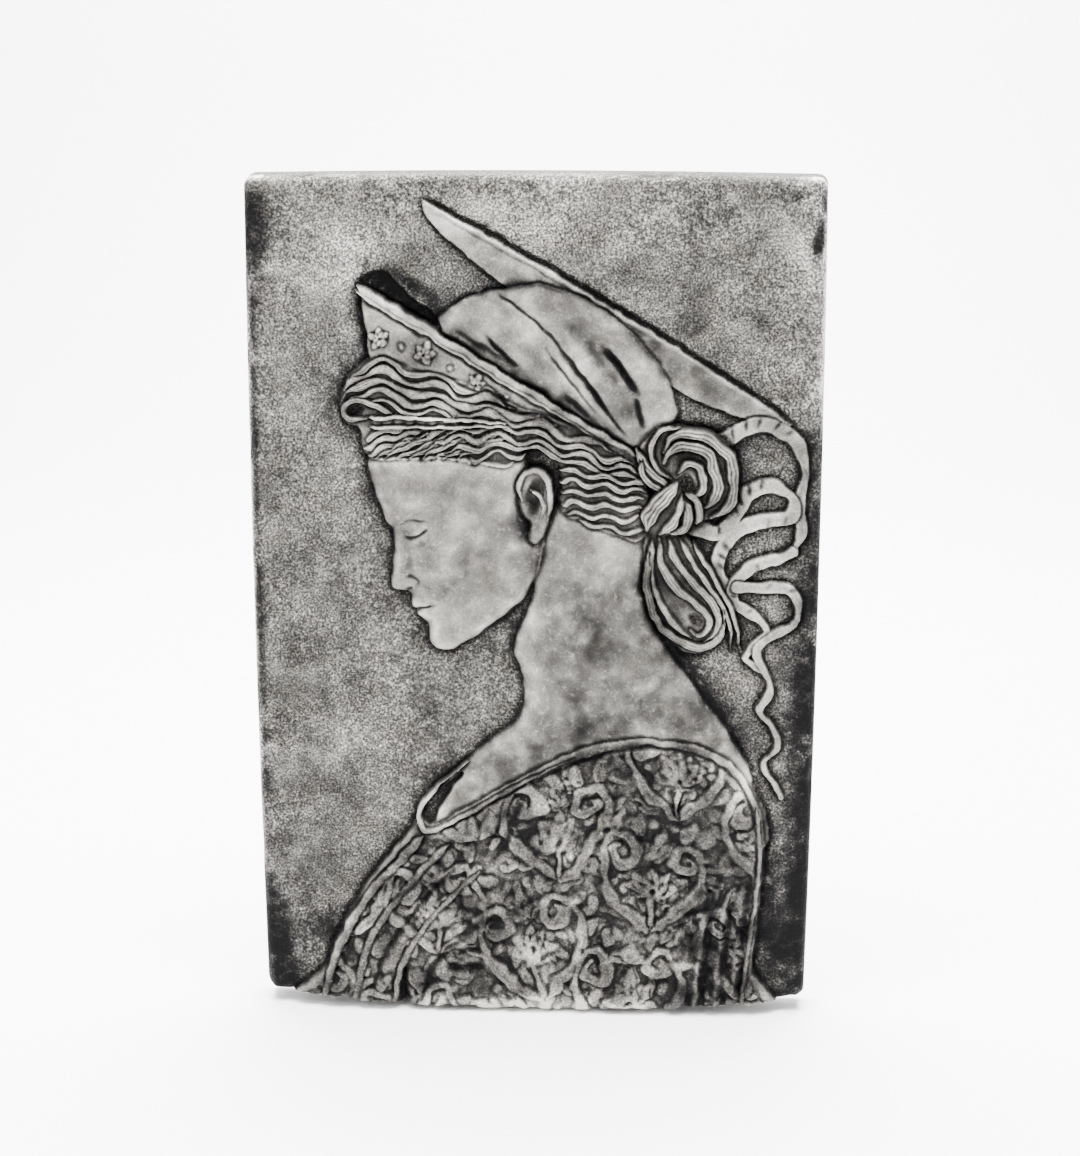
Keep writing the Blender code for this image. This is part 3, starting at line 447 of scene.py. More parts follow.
hair = {
    "outline": [(-84, 132.5), (-93, 127), (-100, 117), (-102, 107), (-99, 98), (-92, 95),
        (-91, 88), (-87, 80), (-70, 79), (-50, 80), (-30, 78), (-14, 76), (-4, 84), (8, 84),
        (14, 70), (13, 54), (25, 47), (40, 41), (55, 36), (62, 45), (61, 60), (57, 76), (50, 86),
        (35, 92), (15, 100), (-5, 107), (-22, 114), (-40, 121), (-60, 126), (-74, 131)],
    "form": {"level": 3.3, "edge": 3.0, "dome": 0, "reach": 12, "gutter": 1.2, "gutterWidth": 1.6},
    "cut": {"base": 4.0, "crown": 3.0, "gap": 1.3, "root": 0.1, "tip": 0.14},
    # each row of locks: how far and how long they wave, and how much they narrow on the way
    "waves": {"roll": (2.1, 26, 0.42), "forelock": (0.8, 15, 0.2), "temple": (2.0, 21, 0.4),
              "nape": (1.3, 17, 0.2)},
    # each lock: its line, half width and strands
    "roll": (
        ([(-96, 121), (-88, 129), (-76, 129.5), (-62, 126), (-48, 121.5), (-36, 117.5),
          (-26, 114)], 1.6, 2),
        ([(-99, 116), (-93, 123), (-82, 125), (-68, 122.5), (-54, 118), (-38, 113.5), (-22, 110),
          (-10, 106.5)], 2.1, 3),
        ([(-100, 111), (-95, 117.5), (-85, 120), (-70, 117), (-54, 112.5), (-36, 108.5),
          (-18, 105), (-2, 102), (12, 98)], 2.2, 3),
        ([(-99, 107.5), (-94, 112.5), (-84, 114.5), (-70, 111.5), (-54, 107.5), (-38, 104.5),
          (-22, 102), (-4, 99), (14, 94), (30, 88.5), (44, 83)], 2.1, 3),
        ([(-88, 108.5), (-78, 108), (-66, 105.5), (-52, 103.8), (-40, 102.6)], 1.3, 2),
    ),
    "curl": [(-74, 103), (-82, 107), (-92, 110), (-98.5, 107.5), (-99.5, 102.5), (-94.5, 99.8),
        (-87, 101)],
    "curlHalf": 1.5, "curlCut": {"base": 4.6, "crown": 2.2, "gap": 2.0, "root": 0.1, "tip": 0.2},
    "curlEye": (-93.8, 104.9, 4.2, 3.0, -5.0, 12, 2),
    "temple": (
        ([(-46, 93), (-34, 95.5), (-20, 97), (-6, 95.5), (8, 91), (24, 86), (40, 80.5), (55, 76)],
         1.6, 2),
        ([(-52, 88), (-40, 90), (-26, 91.5), (-12, 91), (2, 87.5), (18, 83.5), (34, 78.5),
          (48, 74.5), (58, 71.5)], 1.7, 2),
        ([(-46, 83.5), (-34, 85.5), (-20, 86.5), (-8, 87), (4, 84.5), (18, 79.5), (34, 74.5),
          (48, 71), (59, 68.5)], 1.5, 2),
        ([(-34, 80.5), (-22, 82), (-12, 82.5), (-3, 83.5)], 1.1, 2),
    ),
    "nape": (
        ([(13, 74), (24, 73), (36, 70.5), (48, 68), (60, 66)], 1.3, 2),
        ([(13, 68), (24, 68), (36, 66), (48, 64), (60, 63)], 1.4, 2),
        ([(13, 62), (23, 62.5), (35, 61), (47, 59.5), (58, 59)], 1.3, 2),
        ([(14, 56), (24, 56.5), (35, 55), (47, 54.5), (58, 54)], 1.4, 2),
        ([(17, 51), (26, 50.5), (36, 49), (47, 48.5), (58, 49)], 1.3, 2),
        ([(24, 47), (34, 44.5), (44, 42.5), (53, 41), (60, 44)], 1.2, 2),
    ),
    "forelock": (
        ([(-89, 90), (-83, 92.5), (-76, 94), (-68, 95.5)], 1.6, 2),
        ([(-89.5, 85), (-83, 88), (-75, 90.5), (-66, 92.5), (-58, 95)], 1.7, 2),
        ([(-88, 81), (-81, 84.5), (-72, 87), (-63, 90), (-53, 92), (-46, 95)], 1.7, 2),
    ),
    # short locks over the brow, side by side: right of the first, up, and share of their lift
    "browFirst": -84.0, "browStep": 6.2, "browCount": 8, "browLift": 0.7, "browHalf": 1.6,
    "brow": ((0, 79.6, 0.3), (4, 82.4, 1), (10, 84.0, 1), (15, 87.4, 1), (22, 89.2, 0.5),
             (29, 93.6, 0)),
    "browCut": {"base": 4.2, "crown": 2.4, "gap": 1.4, "root": 0.3, "tip": 0.3},
}


def inWaves(line, swing, length, phase):
    # the line swung across itself, in step with its neighbours, and calm at its ends
    step = np.gradient(line, axis=0)
    across = np.c_[-step[:, 1], step[:, 0]] / np.maximum(np.hypot(*step.T), 1e-9)[:, None]
    s = np.linspace(0, 1, len(line))
    hold = ease(s / 0.08) * ease((1 - s) / 0.08)
    beat = np.sin(2 * math.pi * ((line[:, 0] + 0.25 * line[:, 1]) / length + phase))
    return line + across * (swing * hold * beat)[:, None]


def carveRow(relief, name):
    # a row of locks, each a little out of step with the one before
    swing, length, narrowing = hair["waves"][name]
    for i, (points, half, strands) in enumerate(hair[name]):
        uneven = swing * (1 + 0.25 * math.sin(2.3 * i))
        line = inWaves(smoothLine(points), uneven, length, 0.06 * i)
        s = np.linspace(0, 1, len(line))
        turn = 0.6 + len(line) * 1.2 / length * s + 0.4 * i
        beat = 1 - narrowing * np.sin(math.pi * turn) ** 2
        relief.lock(line, half * 1.12 * beat, strands=strands + (half > 1.6), **hair["cut"])


def carveHair(relief):
    outline = smoothLine(hair["outline"], True)
    relief.mass(outline, **hair["form"])
    relief.hollow(outline, hair["form"]["level"], hair["form"]["edge"])
    carveRow(relief, "roll")
    relief.lock(smoothLine(hair["curl"]), hair["curlHalf"], strands=2, **hair["curlCut"])
    relief.bump(*hair["curlEye"])
    carveRow(relief, "forelock")
    for k in range(hair["browCount"]):
        x, lift = hair["browFirst"] + hair["browStep"] * k, hair["browLift"] * math.sin(2.1 * k)
        line = smoothLine([(x + right, up + share * lift) for right, up, share in hair["brow"]])
        relief.lock(line, hair["browHalf"], strands=2, **hair["browCut"])
    carveRow(relief, "temple")
    carveRow(relief, "nape")


# A flat bed between two cords, with a row of beads along it
fillet = {
    "bed": ((-88, 96), (-16, 102)), "bedLevel": 4.6,
    "cords": ([(-87, 101.4), (-50, 101.0), (-14, 99)], [(-86, 96.3), (-50, 96.6), (-14, 97.6)]),
    "cordHalf": 0.9, "cordCut": {"base": 6.2, "crown": 1.1, "gap": 1.4, "root": 0.03, "tip": 0.06},
    "beads": 11, "firstBead": (-83, 98.9), "spacing": 6.0,
}


def carveFillet(relief):
    w = relief.window(*fillet["bed"])
    relief.h[w] = np.minimum(relief.h[w], fillet["bedLevel"])
    for points in fillet["cords"]:
        relief.lock(smoothLine(points), fillet["cordHalf"], gapWidth=0.6, **fillet["cordCut"])
    x, z = fillet["firstBead"]
    for k in range(fillet["beads"]):
        relief.bump(x + k * fillet["spacing"], z, 2.1, 1.6 - 0.06 * k, 1.6, 0, 3)


ear = {
    "outline": [(-7.5, 60), (-8, 68), (-3, 74.5), (4, 74), (9.5, 67), (10.5, 57), (8.5, 47),
        (5, 38), (1, 34.5), (-2.5, 38), (-2.5, 46), (-6, 51)],
    "form": {"level": 6.4, "edge": 2.2, "dome": 0, "reach": 5, "gutter": 2.2, "gutterWidth": 1.8},
    "bed": (2, 57, 12.5, 19.5, -1.8, -8, 3),
    "hollows": ((1.5, 62, 5.0, 9.0, -3.4, -14, 2), (-0.5, 54, 3.4, 4.6, -2.2, 0, 2)),
    # the rim and the inner fold: line, half width, base, crown, gap, root and tip
    "folds": (
        ([(-5, 58), (-8, 65), (-4.5, 72.5), (2.5, 73.5), (8, 67.5), (9.3, 57), (7.5, 47)],
         1.35, 6.8, 1.5, 0.8, 0.15, 0.2),
        ([(-1.5, 63.5), (3.2, 61), (5.8, 54), (3.5, 48)], 1.15, 5.6, 1.4, 0.5, 0.25, 0.25),
    ),
    "lobes": ((-4.4, 54.5, 2.6, 3.2, 1.8), (0.6, 39.5, 3.0, 3.6, 1.5)),
}


def carveEar(relief):
    relief.bump(*ear["bed"])
    carveForm(relief, ear)
    for dent in ear["hollows"]:
        relief.bump(*dent)
    for points, *cut in ear["folds"]:
        relief.lock(smoothLine(points), *cut, gapWidth=0.6)
    for dome in ear["lobes"]:
        relief.bump(*dome)


tail = {
    "outline": [(60, 40), (58.5, 22), (61, 4), (69, -14), (80, -24.5), (92, -24), (101, -14),
        (103, 0), (98, 12), (90, 24), (82, 38), (72, 42)],
    "form": {"level": 2.4, "edge": 3, "dome": 0, "reach": 8, "gutter": 1.6, "gutterWidth": 2.0},
    "locks": (
        ([(84, 37), (90, 26), (97, 14), (104, 2), (108, -10), (110, -24)], 1.3, 2),
        ([(77, 38), (84, 25), (93, 12), (101, 0), (105, -12), (105, -22)], 1.5, 2),
        ([(71, 38), (75, 26), (84, 15), (94, 5), (98.5, -5), (97, -14), (90, -18.5)], 2.0, 3),
        ([(66, 38), (68, 24), (76, 11), (87, 2), (93.5, -5), (92.5, -12), (87, -14.5),
          (83, -11.5)], 2.0, 3),
        ([(62.5, 37), (62, 22), (65, 7), (71, -3), (77, -11), (84, -16.5)], 1.9, 3),
        ([(60.5, 30), (60, 14), (63, -2), (70, -12), (79, -18.5), (89, -21.5), (97, -18),
          (101, -10), (101, -1)], 2.2, 3),
    ),
    "cut": {"base": 4.0, "crown": 3.0, "gap": 1.7, "root": 0.12, "tip": 0.25},
    "hole": (86, -6.5, 4.2, 2.6, -4.0, -35, 2),
}


def carveTail(relief):
    carveForm(relief, tail)
    for points, half, strands in tail["locks"]:
        relief.lock(smoothLine(points), half, strands=strands, **tail["cut"])
    relief.bump(*tail["hole"])


# Its coils and the lobes over them: line, half width, base and strands
knot = {
    "outline": [(56, 84), (60, 92), (68, 98), (80, 98), (92, 95), (103, 87), (106, 72), (106, 60),
        (99, 50), (86, 46), (74, 40), (62, 40), (58, 46), (62, 56), (62, 68)],
    "form": {"level": 3.0, "edge": 4, "dome": 0, "reach": 8, "gutter": 1.8, "gutterWidth": 2.4},
    "coils": (
        ([(73, 70), (66, 74), (61.5, 82), (62.5, 90.5), (69, 96.5), (77, 97.5)], 1.3, 5.0, 2),
        ([(68, 84), (72, 92), (82, 94.5), (91, 92), (97, 87), (103, 82), (104.5, 72), (105, 62),
          (101, 54), (93, 49.5)], 2.8, 5.0, 3),
        ([(68, 79), (73, 86.5), (82, 88), (91, 84), (94, 76), (97, 66), (94, 58), (88, 54)], 3.0,
         5.2, 3),
        ([(76, 73), (80, 78), (86, 77), (89.5, 70), (88, 63), (84, 60)], 2.0, 5.4, 2),
    ),
    "coilCut": {"crown": 3.3, "gap": 2.6, "root": 0.18, "tip": 0.2},
    "lobes": (
        ([(85, 46), (87.5, 52), (85, 59), (80, 62)], 2.0, 4.8, 3),
        ([(70, 41), (79, 44), (82, 52), (78, 60)], 2.4, 5.2, 3),
        ([(54, 86), (58, 77), (64, 71), (72, 64)], 2.6, 4.8, 3),
        ([(56, 80), (58, 71), (64, 66), (70, 61)], 2.0, 4.6, 2),
        ([(59, 43), (62, 52), (68, 60), (76, 68)], 4.2, 5.6, 4),
        ([(66, 40), (73, 46), (77, 54), (78, 62)], 2.2, 5.2, 3),
    ),
    "lobeCut": {"crown": 3.0, "gap": 2.4, "root": 0.2, "tip": 0.22},
    "hole": (80.5, 67, 4.0, 4.8, -6.0, 20, 2),
}


def carveKnot(relief):
    carveForm(relief, knot)
    layLocks(relief, knot["coils"], knot["coilCut"])
    relief.bump(*knot["hole"])
    layLocks(relief, knot["lobes"], knot["lobeCut"])


ribbon = {
    # the rounding of its edges as a share of its half width, its dish and the lip along each edge
    "rounding": 0.22, "dish": 0.25, "lip": 0.35, "lipAt": 0.8, "lipWidth": 0.12,
    "crease": 1.2, "creaseWidth": 0.009, "slant": 0.012, "gutter": 1.3, "gutterWidth": 1.1,
    # each run: its line, half width, height, share of width left at its end, twists and creases
    "runs": (
        ([(92, 88), (103, 92), (114, 98), (127, 97), (138, 88), (142, 73), (139.5, 57), (141, 42),
          (137, 31)], 4.4, 2.8, 0.75, ((0.62, 0.45, 0.09), (0.97, 0.5, 0.05)), ((0.12, 0.8),
                                                                                (0.19, 0.9),
                                                                                (0.25, 0.5),
                                                                                (0.33, 0.9),
                                                                                (0.4, 0.6))),
        ([(84, 44), (97, 41), (106, 50), (113, 62), (125, 66.5), (136, 59), (135, 50), (122, 47.5),
          (108, 42), (99, 31), (98, 18), (104, 8)], 4.6, 3.2, 0.8, ((0.44, 0.5, 0.035),),
         ((0.1, 0.9), (0.2, 0.8), (0.24, 0.9), (0.285, 0.9), (0.33, 0.8), (0.55, 0.5), (0.61, 0.5),
          (0.8, 0.8), (0.84, 0.9), (0.88, 0.7))),
        ([(137, 31), (130, 27), (117, 23), (107, 14), (107, 3), (117, -4), (124, -13), (118, -21),
          (113, -28), (122, -34)], 3.8, 3.2, 0.7, ((0.04, 0.4, 0.05), (0.66, 0.35, 0.05),
                                                   (0.9, 0.4, 0.06)), ((0.2, 0.5), (0.42, 0.6),
                                                                       (0.55, 0.6))),
        ([(108, 12), (120, 11), (134, 11), (141, 2), (138, -9), (127, -15), (119, -24), (124, -36),
          (127, -46), (121, -57), (129, -67), (131, -78), (124, -88), (130, -98), (134, -106)],
         3.4, 3.0, 0.45, ((0.26, 0.5, 0.05), (0.55, 0.4, 0.03), (0.7, 0.4, 0.03),
                          (0.84, 0.4, 0.03)), ((0.1, 0.5), (0.17, 0.6))),
    ),
}


def layRibbon(relief, line, halfWidth, level, endWidth, twists, creases):
    # flat, narrower where it twists and creased where it bends
    w, d, s, side = relief.along(line, halfWidth + 3.0)
    half = halfWidth * (1 - (1 - endWidth) * s)
    for at, narrow, span in twists:
        half = half * (1 - narrow * np.exp(-((s - at) / span) ** 2))
    u = d / half
    lip = ribbon["lip"] * np.exp(-((u - ribbon["lipAt"]) / ribbon["lipWidth"]) ** 2)
    top = level * roundOver((1 - u) / ribbon["rounding"]) + lip - ribbon["dish"] * (1 - u * u)
    # painted shade on the ribbon's rounded edges, and below in its creases
    ribbonShade = 0.25 * ease((u - 0.7) / 0.3)
    for at, deep in creases:
        off = s - at - ribbon["slant"] * u * side
        fold = deep * np.exp(-(off / ribbon["creaseWidth"]) ** 2) * ease(0.65 + side * u)
        top, ribbonShade = top - ribbon["crease"] * fold, np.maximum(ribbonShade, fold)
    outside = np.clip(d - half, 0, None)
    cut = relief.h[w] - ribbon["gutter"] * np.exp(-(outside / ribbon["gutterWidth"]) ** 2)
    relief.h[w] = np.where(u < 1, top, np.where(outside < 3, cut, relief.h[w]))
    relief.lines[w] = np.where(u < 1, ribbonShade, relief.lines[w])


def carveRibbons(relief):
    for points, *shape in ribbon["runs"]:
        layRibbon(relief, smoothLine(points), *shape)


# The dress's lines are its hem, the roll over the arm and the folds
dress = {
    "outline": [(-63, -119), (-70, -131), (-84, -148), (-97, -167), (-108, -188), (-116, -208),
        (-122, -240), (118, -240), (121, -205), (124, -172), (125.5, -142), (124.5, -120),
        (119, -104), (111, -91), (100, -81.5), (85, -75.5), (65, -73), (45, -73.5), (25, -79),
        (5, -88.5), (-15, -100), (-35, -112), (-50, -121.5), (-58, -124)],
    "form": {"level": 4.4, "edge": 4, "dome": 2.4, "reach": 40, "gutter": 1.6, "gutterWidth": 2.2},
    "lines": (
        ([(-52, -128), (-30, -115), (-8, -102), (14, -91), (36, -82), (60, -77.5), (84, -80),
          (104, -90), (116, -106), (120, -124)], 0.9, -1.6, 0.05),
        ([(12, -152), (-12, -168), (-30, -184), (-44, -200), (-52, -214)], 4.0, 1.3, 0.3),
        ([(-4, -101), (-8, -112), (-12, -124), (-18, -138), (-28, -150)], 2.2, -3.2, 0.25),
        ([(-20, -170), (-34, -184), (-48, -198), (-58, -212), (-62, -232)], 2.6, -3.2, 0.25),
        ([(-60, -130), (-74, -144), (-88, -158)], 1.4, -1.8, 0.25),
        ([(-30, -136), (-52, -158), (-70, -180), (-84, -204), (-90, -232)], 1.5, -2.2, 0.25),
        ([(-36, -140), (-40, -160), (-38, -184)], 1.6, -1.6, 0.25),
        ([(-72, -204), (-73, -220), (-72, -236)], 3.2, -6.0, 0.25),
        ([(-50, -206), (-38, -208), (-26, -206)], 2.4, -4.0, 0.25),
        ([(-44, -199), (-34, -196), (-26, -199)], 1.8, -3.0, 0.25),
    ),
    # the weave: how low and high it may go, the plain border and how soon the pattern rises
    "weave": {"lowest": -1.7, "highest": 2.5, "border": 4.2, "rise": 2.0},
    # bands down the front: line, half width and base
    "bands": (
        ([(-60, -130), (-75, -147), (-90, -164), (-102, -184), (-112, -206), (-119, -236)], 2.3,
         5.4),
        ([(-47, -135), (-63, -152), (-80, -174), (-93, -198), (-101, -236)], 2.0, 5.8),
        ([(-30, -150), (-46, -166), (-62, -186), (-73, -206), (-80, -236)], 1.7, 6.4),
    ),
    "bandCut": {"crown": 1.0, "gap": 1.5, "root": 0.05, "tip": 0.02}, "bandUneven": 0.12,
    "sleeveFolds": ((112, -150), (102, -160), (91, -170)), "foot": -240,
    "backHem": [(121, -112), (123, -140), (121, -172), (117, -205), (115, -236)],
    "backHemHalf": 1.2,
    "backHemCut": {"base": 4.4, "crown": 1.3, "gap": 1.0, "root": 0.05, "tip": 0.05},
}


def carveDress(relief):
    carveForm(relief, dress)
    cloth = Relief(relief.xs, relief.zs)
    carveBrocade(cloth)
    weave = dress["weave"]
    w, inside = relief.depthInside(smoothLine(dress["outline"], True), 10)
    pattern = np.clip(cloth.h[w], weave["lowest"], weave["highest"])
    relief.h[w] += pattern * ease((inside - weave["border"]) / weave["rise"])
    for points, half, base in dress["bands"]:
        line = smoothLine(points)
        beat = 1 + dress["bandUneven"] * np.sin(np.linspace(0, 9, len(line)) + half)
        relief.lock(line, half * beat, base, **dress["bandCut"])
    foot = dress["foot"]
    for x, top in dress["sleeveFolds"]:
        ridge = [(x + 3, top), (x, top - 32), (x - 3, foot)]
        groove = [(x + 7, top + 4), (x + 4, top - 32), (x + 1, foot)]
        relief.stroke(smoothLine(ridge), 1.3, 1.4, 0.2)
        relief.stroke(smoothLine(groove), 1.7, -1.8, 0.2)
    relief.lock(smoothLine(dress["backHem"]), dress["backHemHalf"], **dress["backHemCut"])


# Stems that part and meet in pointed frames and wind in on themselves, with a flower in each
brocade = {
    "width": 60.0, "height": 66.0, "turn": 97.0, "sunk": 0.9,
    "stem": [(1, -33), (9, -27), (18, -18), (26, -6), (28.5, 5)], "stemHalf": 2.9,
    "stemCut": {"base": 0.5, "crown": 1.7, "gap": 1.1, "root": 0.06, "tip": 0.1},
    "stalk": ((0, -32), (0, -12)), "stalkHalf": 1.9,
    "stalkCut": {"base": 0.3, "crown": 1.5, "gap": 0.8, "root": 0.1, "tip": 0.1},
    # where the stem winds in: right, up and radius
    "scroll": (18.0, 12.0, 10.5),
    # leaves: foot, length, width and lean from upright
    "leaves": ((20, -15, 14, 8.4, 42), (11, -25, 12, 7.4, 88), (27, -3, 12, 7.0, 55),
        (22, 22, 15, 9.0, 30), (13, 22, 12, 7.4, -8), (5, -26, 12, 7.0, 12),
        (14, -15, 11, 6.6, -18), (28, 8, 11, 6.8, 80)),
    "leafCut": {"height": 1.9, "rim": 0.8, "vein": 0.6, "base": -0.4},
    # petals and bud leaves, from one foot each: lean, length and width
    "petals": ((118, 12), (-118, 12), (80, 14.5), (-80, 14.5), (42, 16), (-42, 16), (0, 18)),
    "petalFoot": (0, -9), "petalWidth": 9.4,
    "petalCut": {"height": 2.3, "rim": 1.0, "vein": 0.8, "base": -0.2},
    "bud": ((44, 13, 8), (-44, 13, 8), (0, 19, 10)), "budFoot": (0, 11),
    "budCut": {"height": 2.1, "rim": 0.9, "vein": 0.7, "base": -0.3},
    "balls": ((10, -18, 2.8), (6.3, 31, 2.6), (18, -1.5, 2.4), (24, -24, 2.6), (29, 17, 2.4)),
    # small leaves strewn behind them
    "strewn": {"apart": 11.5, "length": 12.0, "width": 7.2},
    "strewnCut": {"height": 1.7, "rim": 0.8, "vein": 0.5, "base": -0.5},
}


def onCloth(u, v):
    # the pattern leans with the back and hangs from the shoulder
    x = 6 + u + 0.20 * (v + 150)
    return x, v + 2 - 0.0016 * (x - 55) ** 2


def carveFlower(cloth, x, z, turn, size):
    c, s = size * math.cos(math.radians(turn)), size * math.sin(math.radians(turn))

    def at(right, up):
        return x + right * s + up * c, z - right * c + up * s

    def leaf(foot, length, width, lean, cut):
        cloth.petal(*at(*foot), length * size, width * size, turn + lean, **brocade[cut])

    def ball(place, radius, height):
        cloth.bump(*at(*place), radius * size, radius * size, height, 0, 2)

    for hand in (1, -1):
        for right, up, length, width, lean in brocade["leaves"]:
            leaf((hand * right, up), length, width, -hand * lean, "leafCut")
        right, up, radius = brocade["scroll"]
        wound = spiral(hand * right, up, radius, 0 if hand > 0 else 180, hand, 1.2, 0.66)
        stem = [(hand * right, up) for right, up in brocade["stem"]]
        line = smoothLine([at(*place) for place in stem + list(wound[3:])])
        swell = 1 + 0.28 * np.sin(np.linspace(0.4, 8.6, len(line)))
        half = brocade["stemHalf"] * size * swell
        cloth.lock(line, half, strands=2, **brocade["stemCut"])
        eye = (hand * brocade["scroll"][0], brocade["scroll"][1])
        ball(eye, 3.4, 2.2)
        cloth.bump(*at(*eye), 1.3, 1.3, -1.0)
        for right, up, radius in brocade["balls"]:
            ball((hand * right, up), radius, 2.0)
    stalk = evenly([at(*place) for place in brocade["stalk"]], 1.5)
    cloth.lock(stalk, brocade["stalkHalf"], strands=2, **brocade["stalkCut"])
    for lean, length, width in brocade["bud"]:
        leaf(brocade["budFoot"], length, width, lean, "budCut")
    for lean, length in brocade["petals"]:
        leaf(brocade["petalFoot"], length, brocade["petalWidth"], lean, "petalCut")
    ball(brocade["petalFoot"], 4.8, 1.1)
    cloth.bump(*at(*brocade["petalFoot"]), 2.0, 2.0, -1.4)


def carveBrocade(cloth):
    cloth.h -= brocade["sunk"]
    strewn = brocade["strewn"]
    chance = np.random.default_rng(17)
    for x in np.arange(-125, 130, strewn["apart"]):
        for z in np.arange(-238, -68, strewn["apart"]):
            along, up, turn, share = chance.uniform((-4, -4, 0, 0.8), (4, 4, 360, 1.2))
            length, width = share * strewn["length"], share * strewn["width"]
            cloth.petal(x + along, z + up, length, width, turn, **brocade["strewnCut"])
    for i in range(-3, 4):
        for j in range(-1, 4):
            u = i * brocade["width"]
            v = -252 + j * brocade["height"] + (i % 2) * brocade["height"] / 2
            uneven = math.sin(2.7 * i + 1.9 * j)
            turn = brocade["turn"] - 0.13 * u + 7 * uneven
            carveFlower(cloth, *onCloth(u, v), turn, 0.98 + 0.05 * math.sin(1.3 * j + 2.2 * i))
    # the cloth gives, and the casting has lost its sharpness here and there
    cloth.unsteady(1.5, 6.0, 41)
    cloth.unsteady(0.45, 1.8, 43)
    dull = ease(0.5 + 0.4 * cloudy(cloth, 45, 5.0))
    cloth.h = cloth.h * (1 - 0.6 * dull) + 0.6 * dull * soften(cloth.h, 1.2)
    cloth.h += 0.16 * cloudy(cloth, 21, 0.9) + 0.22 * cloudy(cloth, 22, 2.5)


collar = {
    "line": [(-36, -88), (-47, -97), (-57, -107), (-63, -117), (-61, -126), (-54, -126.5),
        (-40, -119), (-22, -108), (0, -95), (22, -84)],
    "half": 1.5, "cut": {"base": 5.0, "crown": 1.7, "gap": 1.2, "root": 0.3, "tip": 0.3},
    "hollow": [(-57, -109), (-48, -101), (-40, -93), (-38, -96), (-46, -106), (-51, -115),
        (-54, -123), (-59.5, -124), (-61.5, -117)],
    "hollowFloor": -0.6, "hollowEdge": 1.4,
}


def carveCollar(relief):
    relief.hollow(smoothLine(collar["hollow"], True), collar["hollowFloor"], collar["hollowEdge"])
    relief.lock(smoothLine(collar["line"]), collar["half"], **collar["cut"])


ground = {
    # slow waves: length, way they run in degrees, phase and height
    "waves": ((83, 17, 0.3, 0.10), (61, 74, 1.9, 0.09), (37, 128, 0.7, 0.06), (23, 41, 2.6, 0.04)),
    # knocks and losses round the rim: place, half size and depth
    "knocks": ((150, 214, 3.0, 6.0, 3.5), (151, 111, 2.0, 4.5, 3.0), (150, -96, 1.6, 5.0, 1.6),
        (149, -224, 8.0, 3.0, 3.0), (141, -226, 4.0, 2.0, 2.2), (-150, 84, 1.6, 7.0, 1.6),
        (-151, -140, 1.5, 9.0, 1.5), (-120, 226, 6.0, 1.4, 1.2), (62, 226, 9.0, 1.3, 1.2),
        (-40, -231, 10.0, 1.4, 1.6), (88, -230, 7.0, 1.6, 1.8), (-149, -222, 3.0, 3.0, 2.0)),
}


def carveGround(relief):
    # the ground is not quite true: slow waves, a hammered grain, and the knocks along its rim
    for length, angle, phase, high in ground["waves"]:
        along, across = turned(relief.x, relief.z, angle)
        bend = 1.3 * np.sin(across / length * 4)
        relief.h += high * np.sin(2 * math.pi * along / length + phase + bend)
    bare = np.exp(-np.clip(relief.h, 0, None) / 0.8)
    relief.h += (0.02 + 0.05 * bare) * cloudy(relief, 3, 1.0) + 0.03 * cloudy(relief, 4, 2.5)
    for px, pz, across, up, depth in ground["knocks"]:
        relief.bump(px, pz, across, up, -depth, 0, 1.5)


def carveFigure():
    relief = Relief(*(np.arange(*slab[name], slab["pitch"]) for name in ("gridX", "gridZ")))
    carveHalo(relief)
    carveRibbons(relief)
    carveForm(relief, neck)
    carveForm(relief, cap)
    for carve in (carveCrown, carveFace, carveTail, carveHair, carveFillet, carveEar, carveKnot,
                  carveDress, carveCollar):
        carve(relief)
    relief.unsteady(0.32, 2.0, 31)
    carveGround(relief)
    return relief


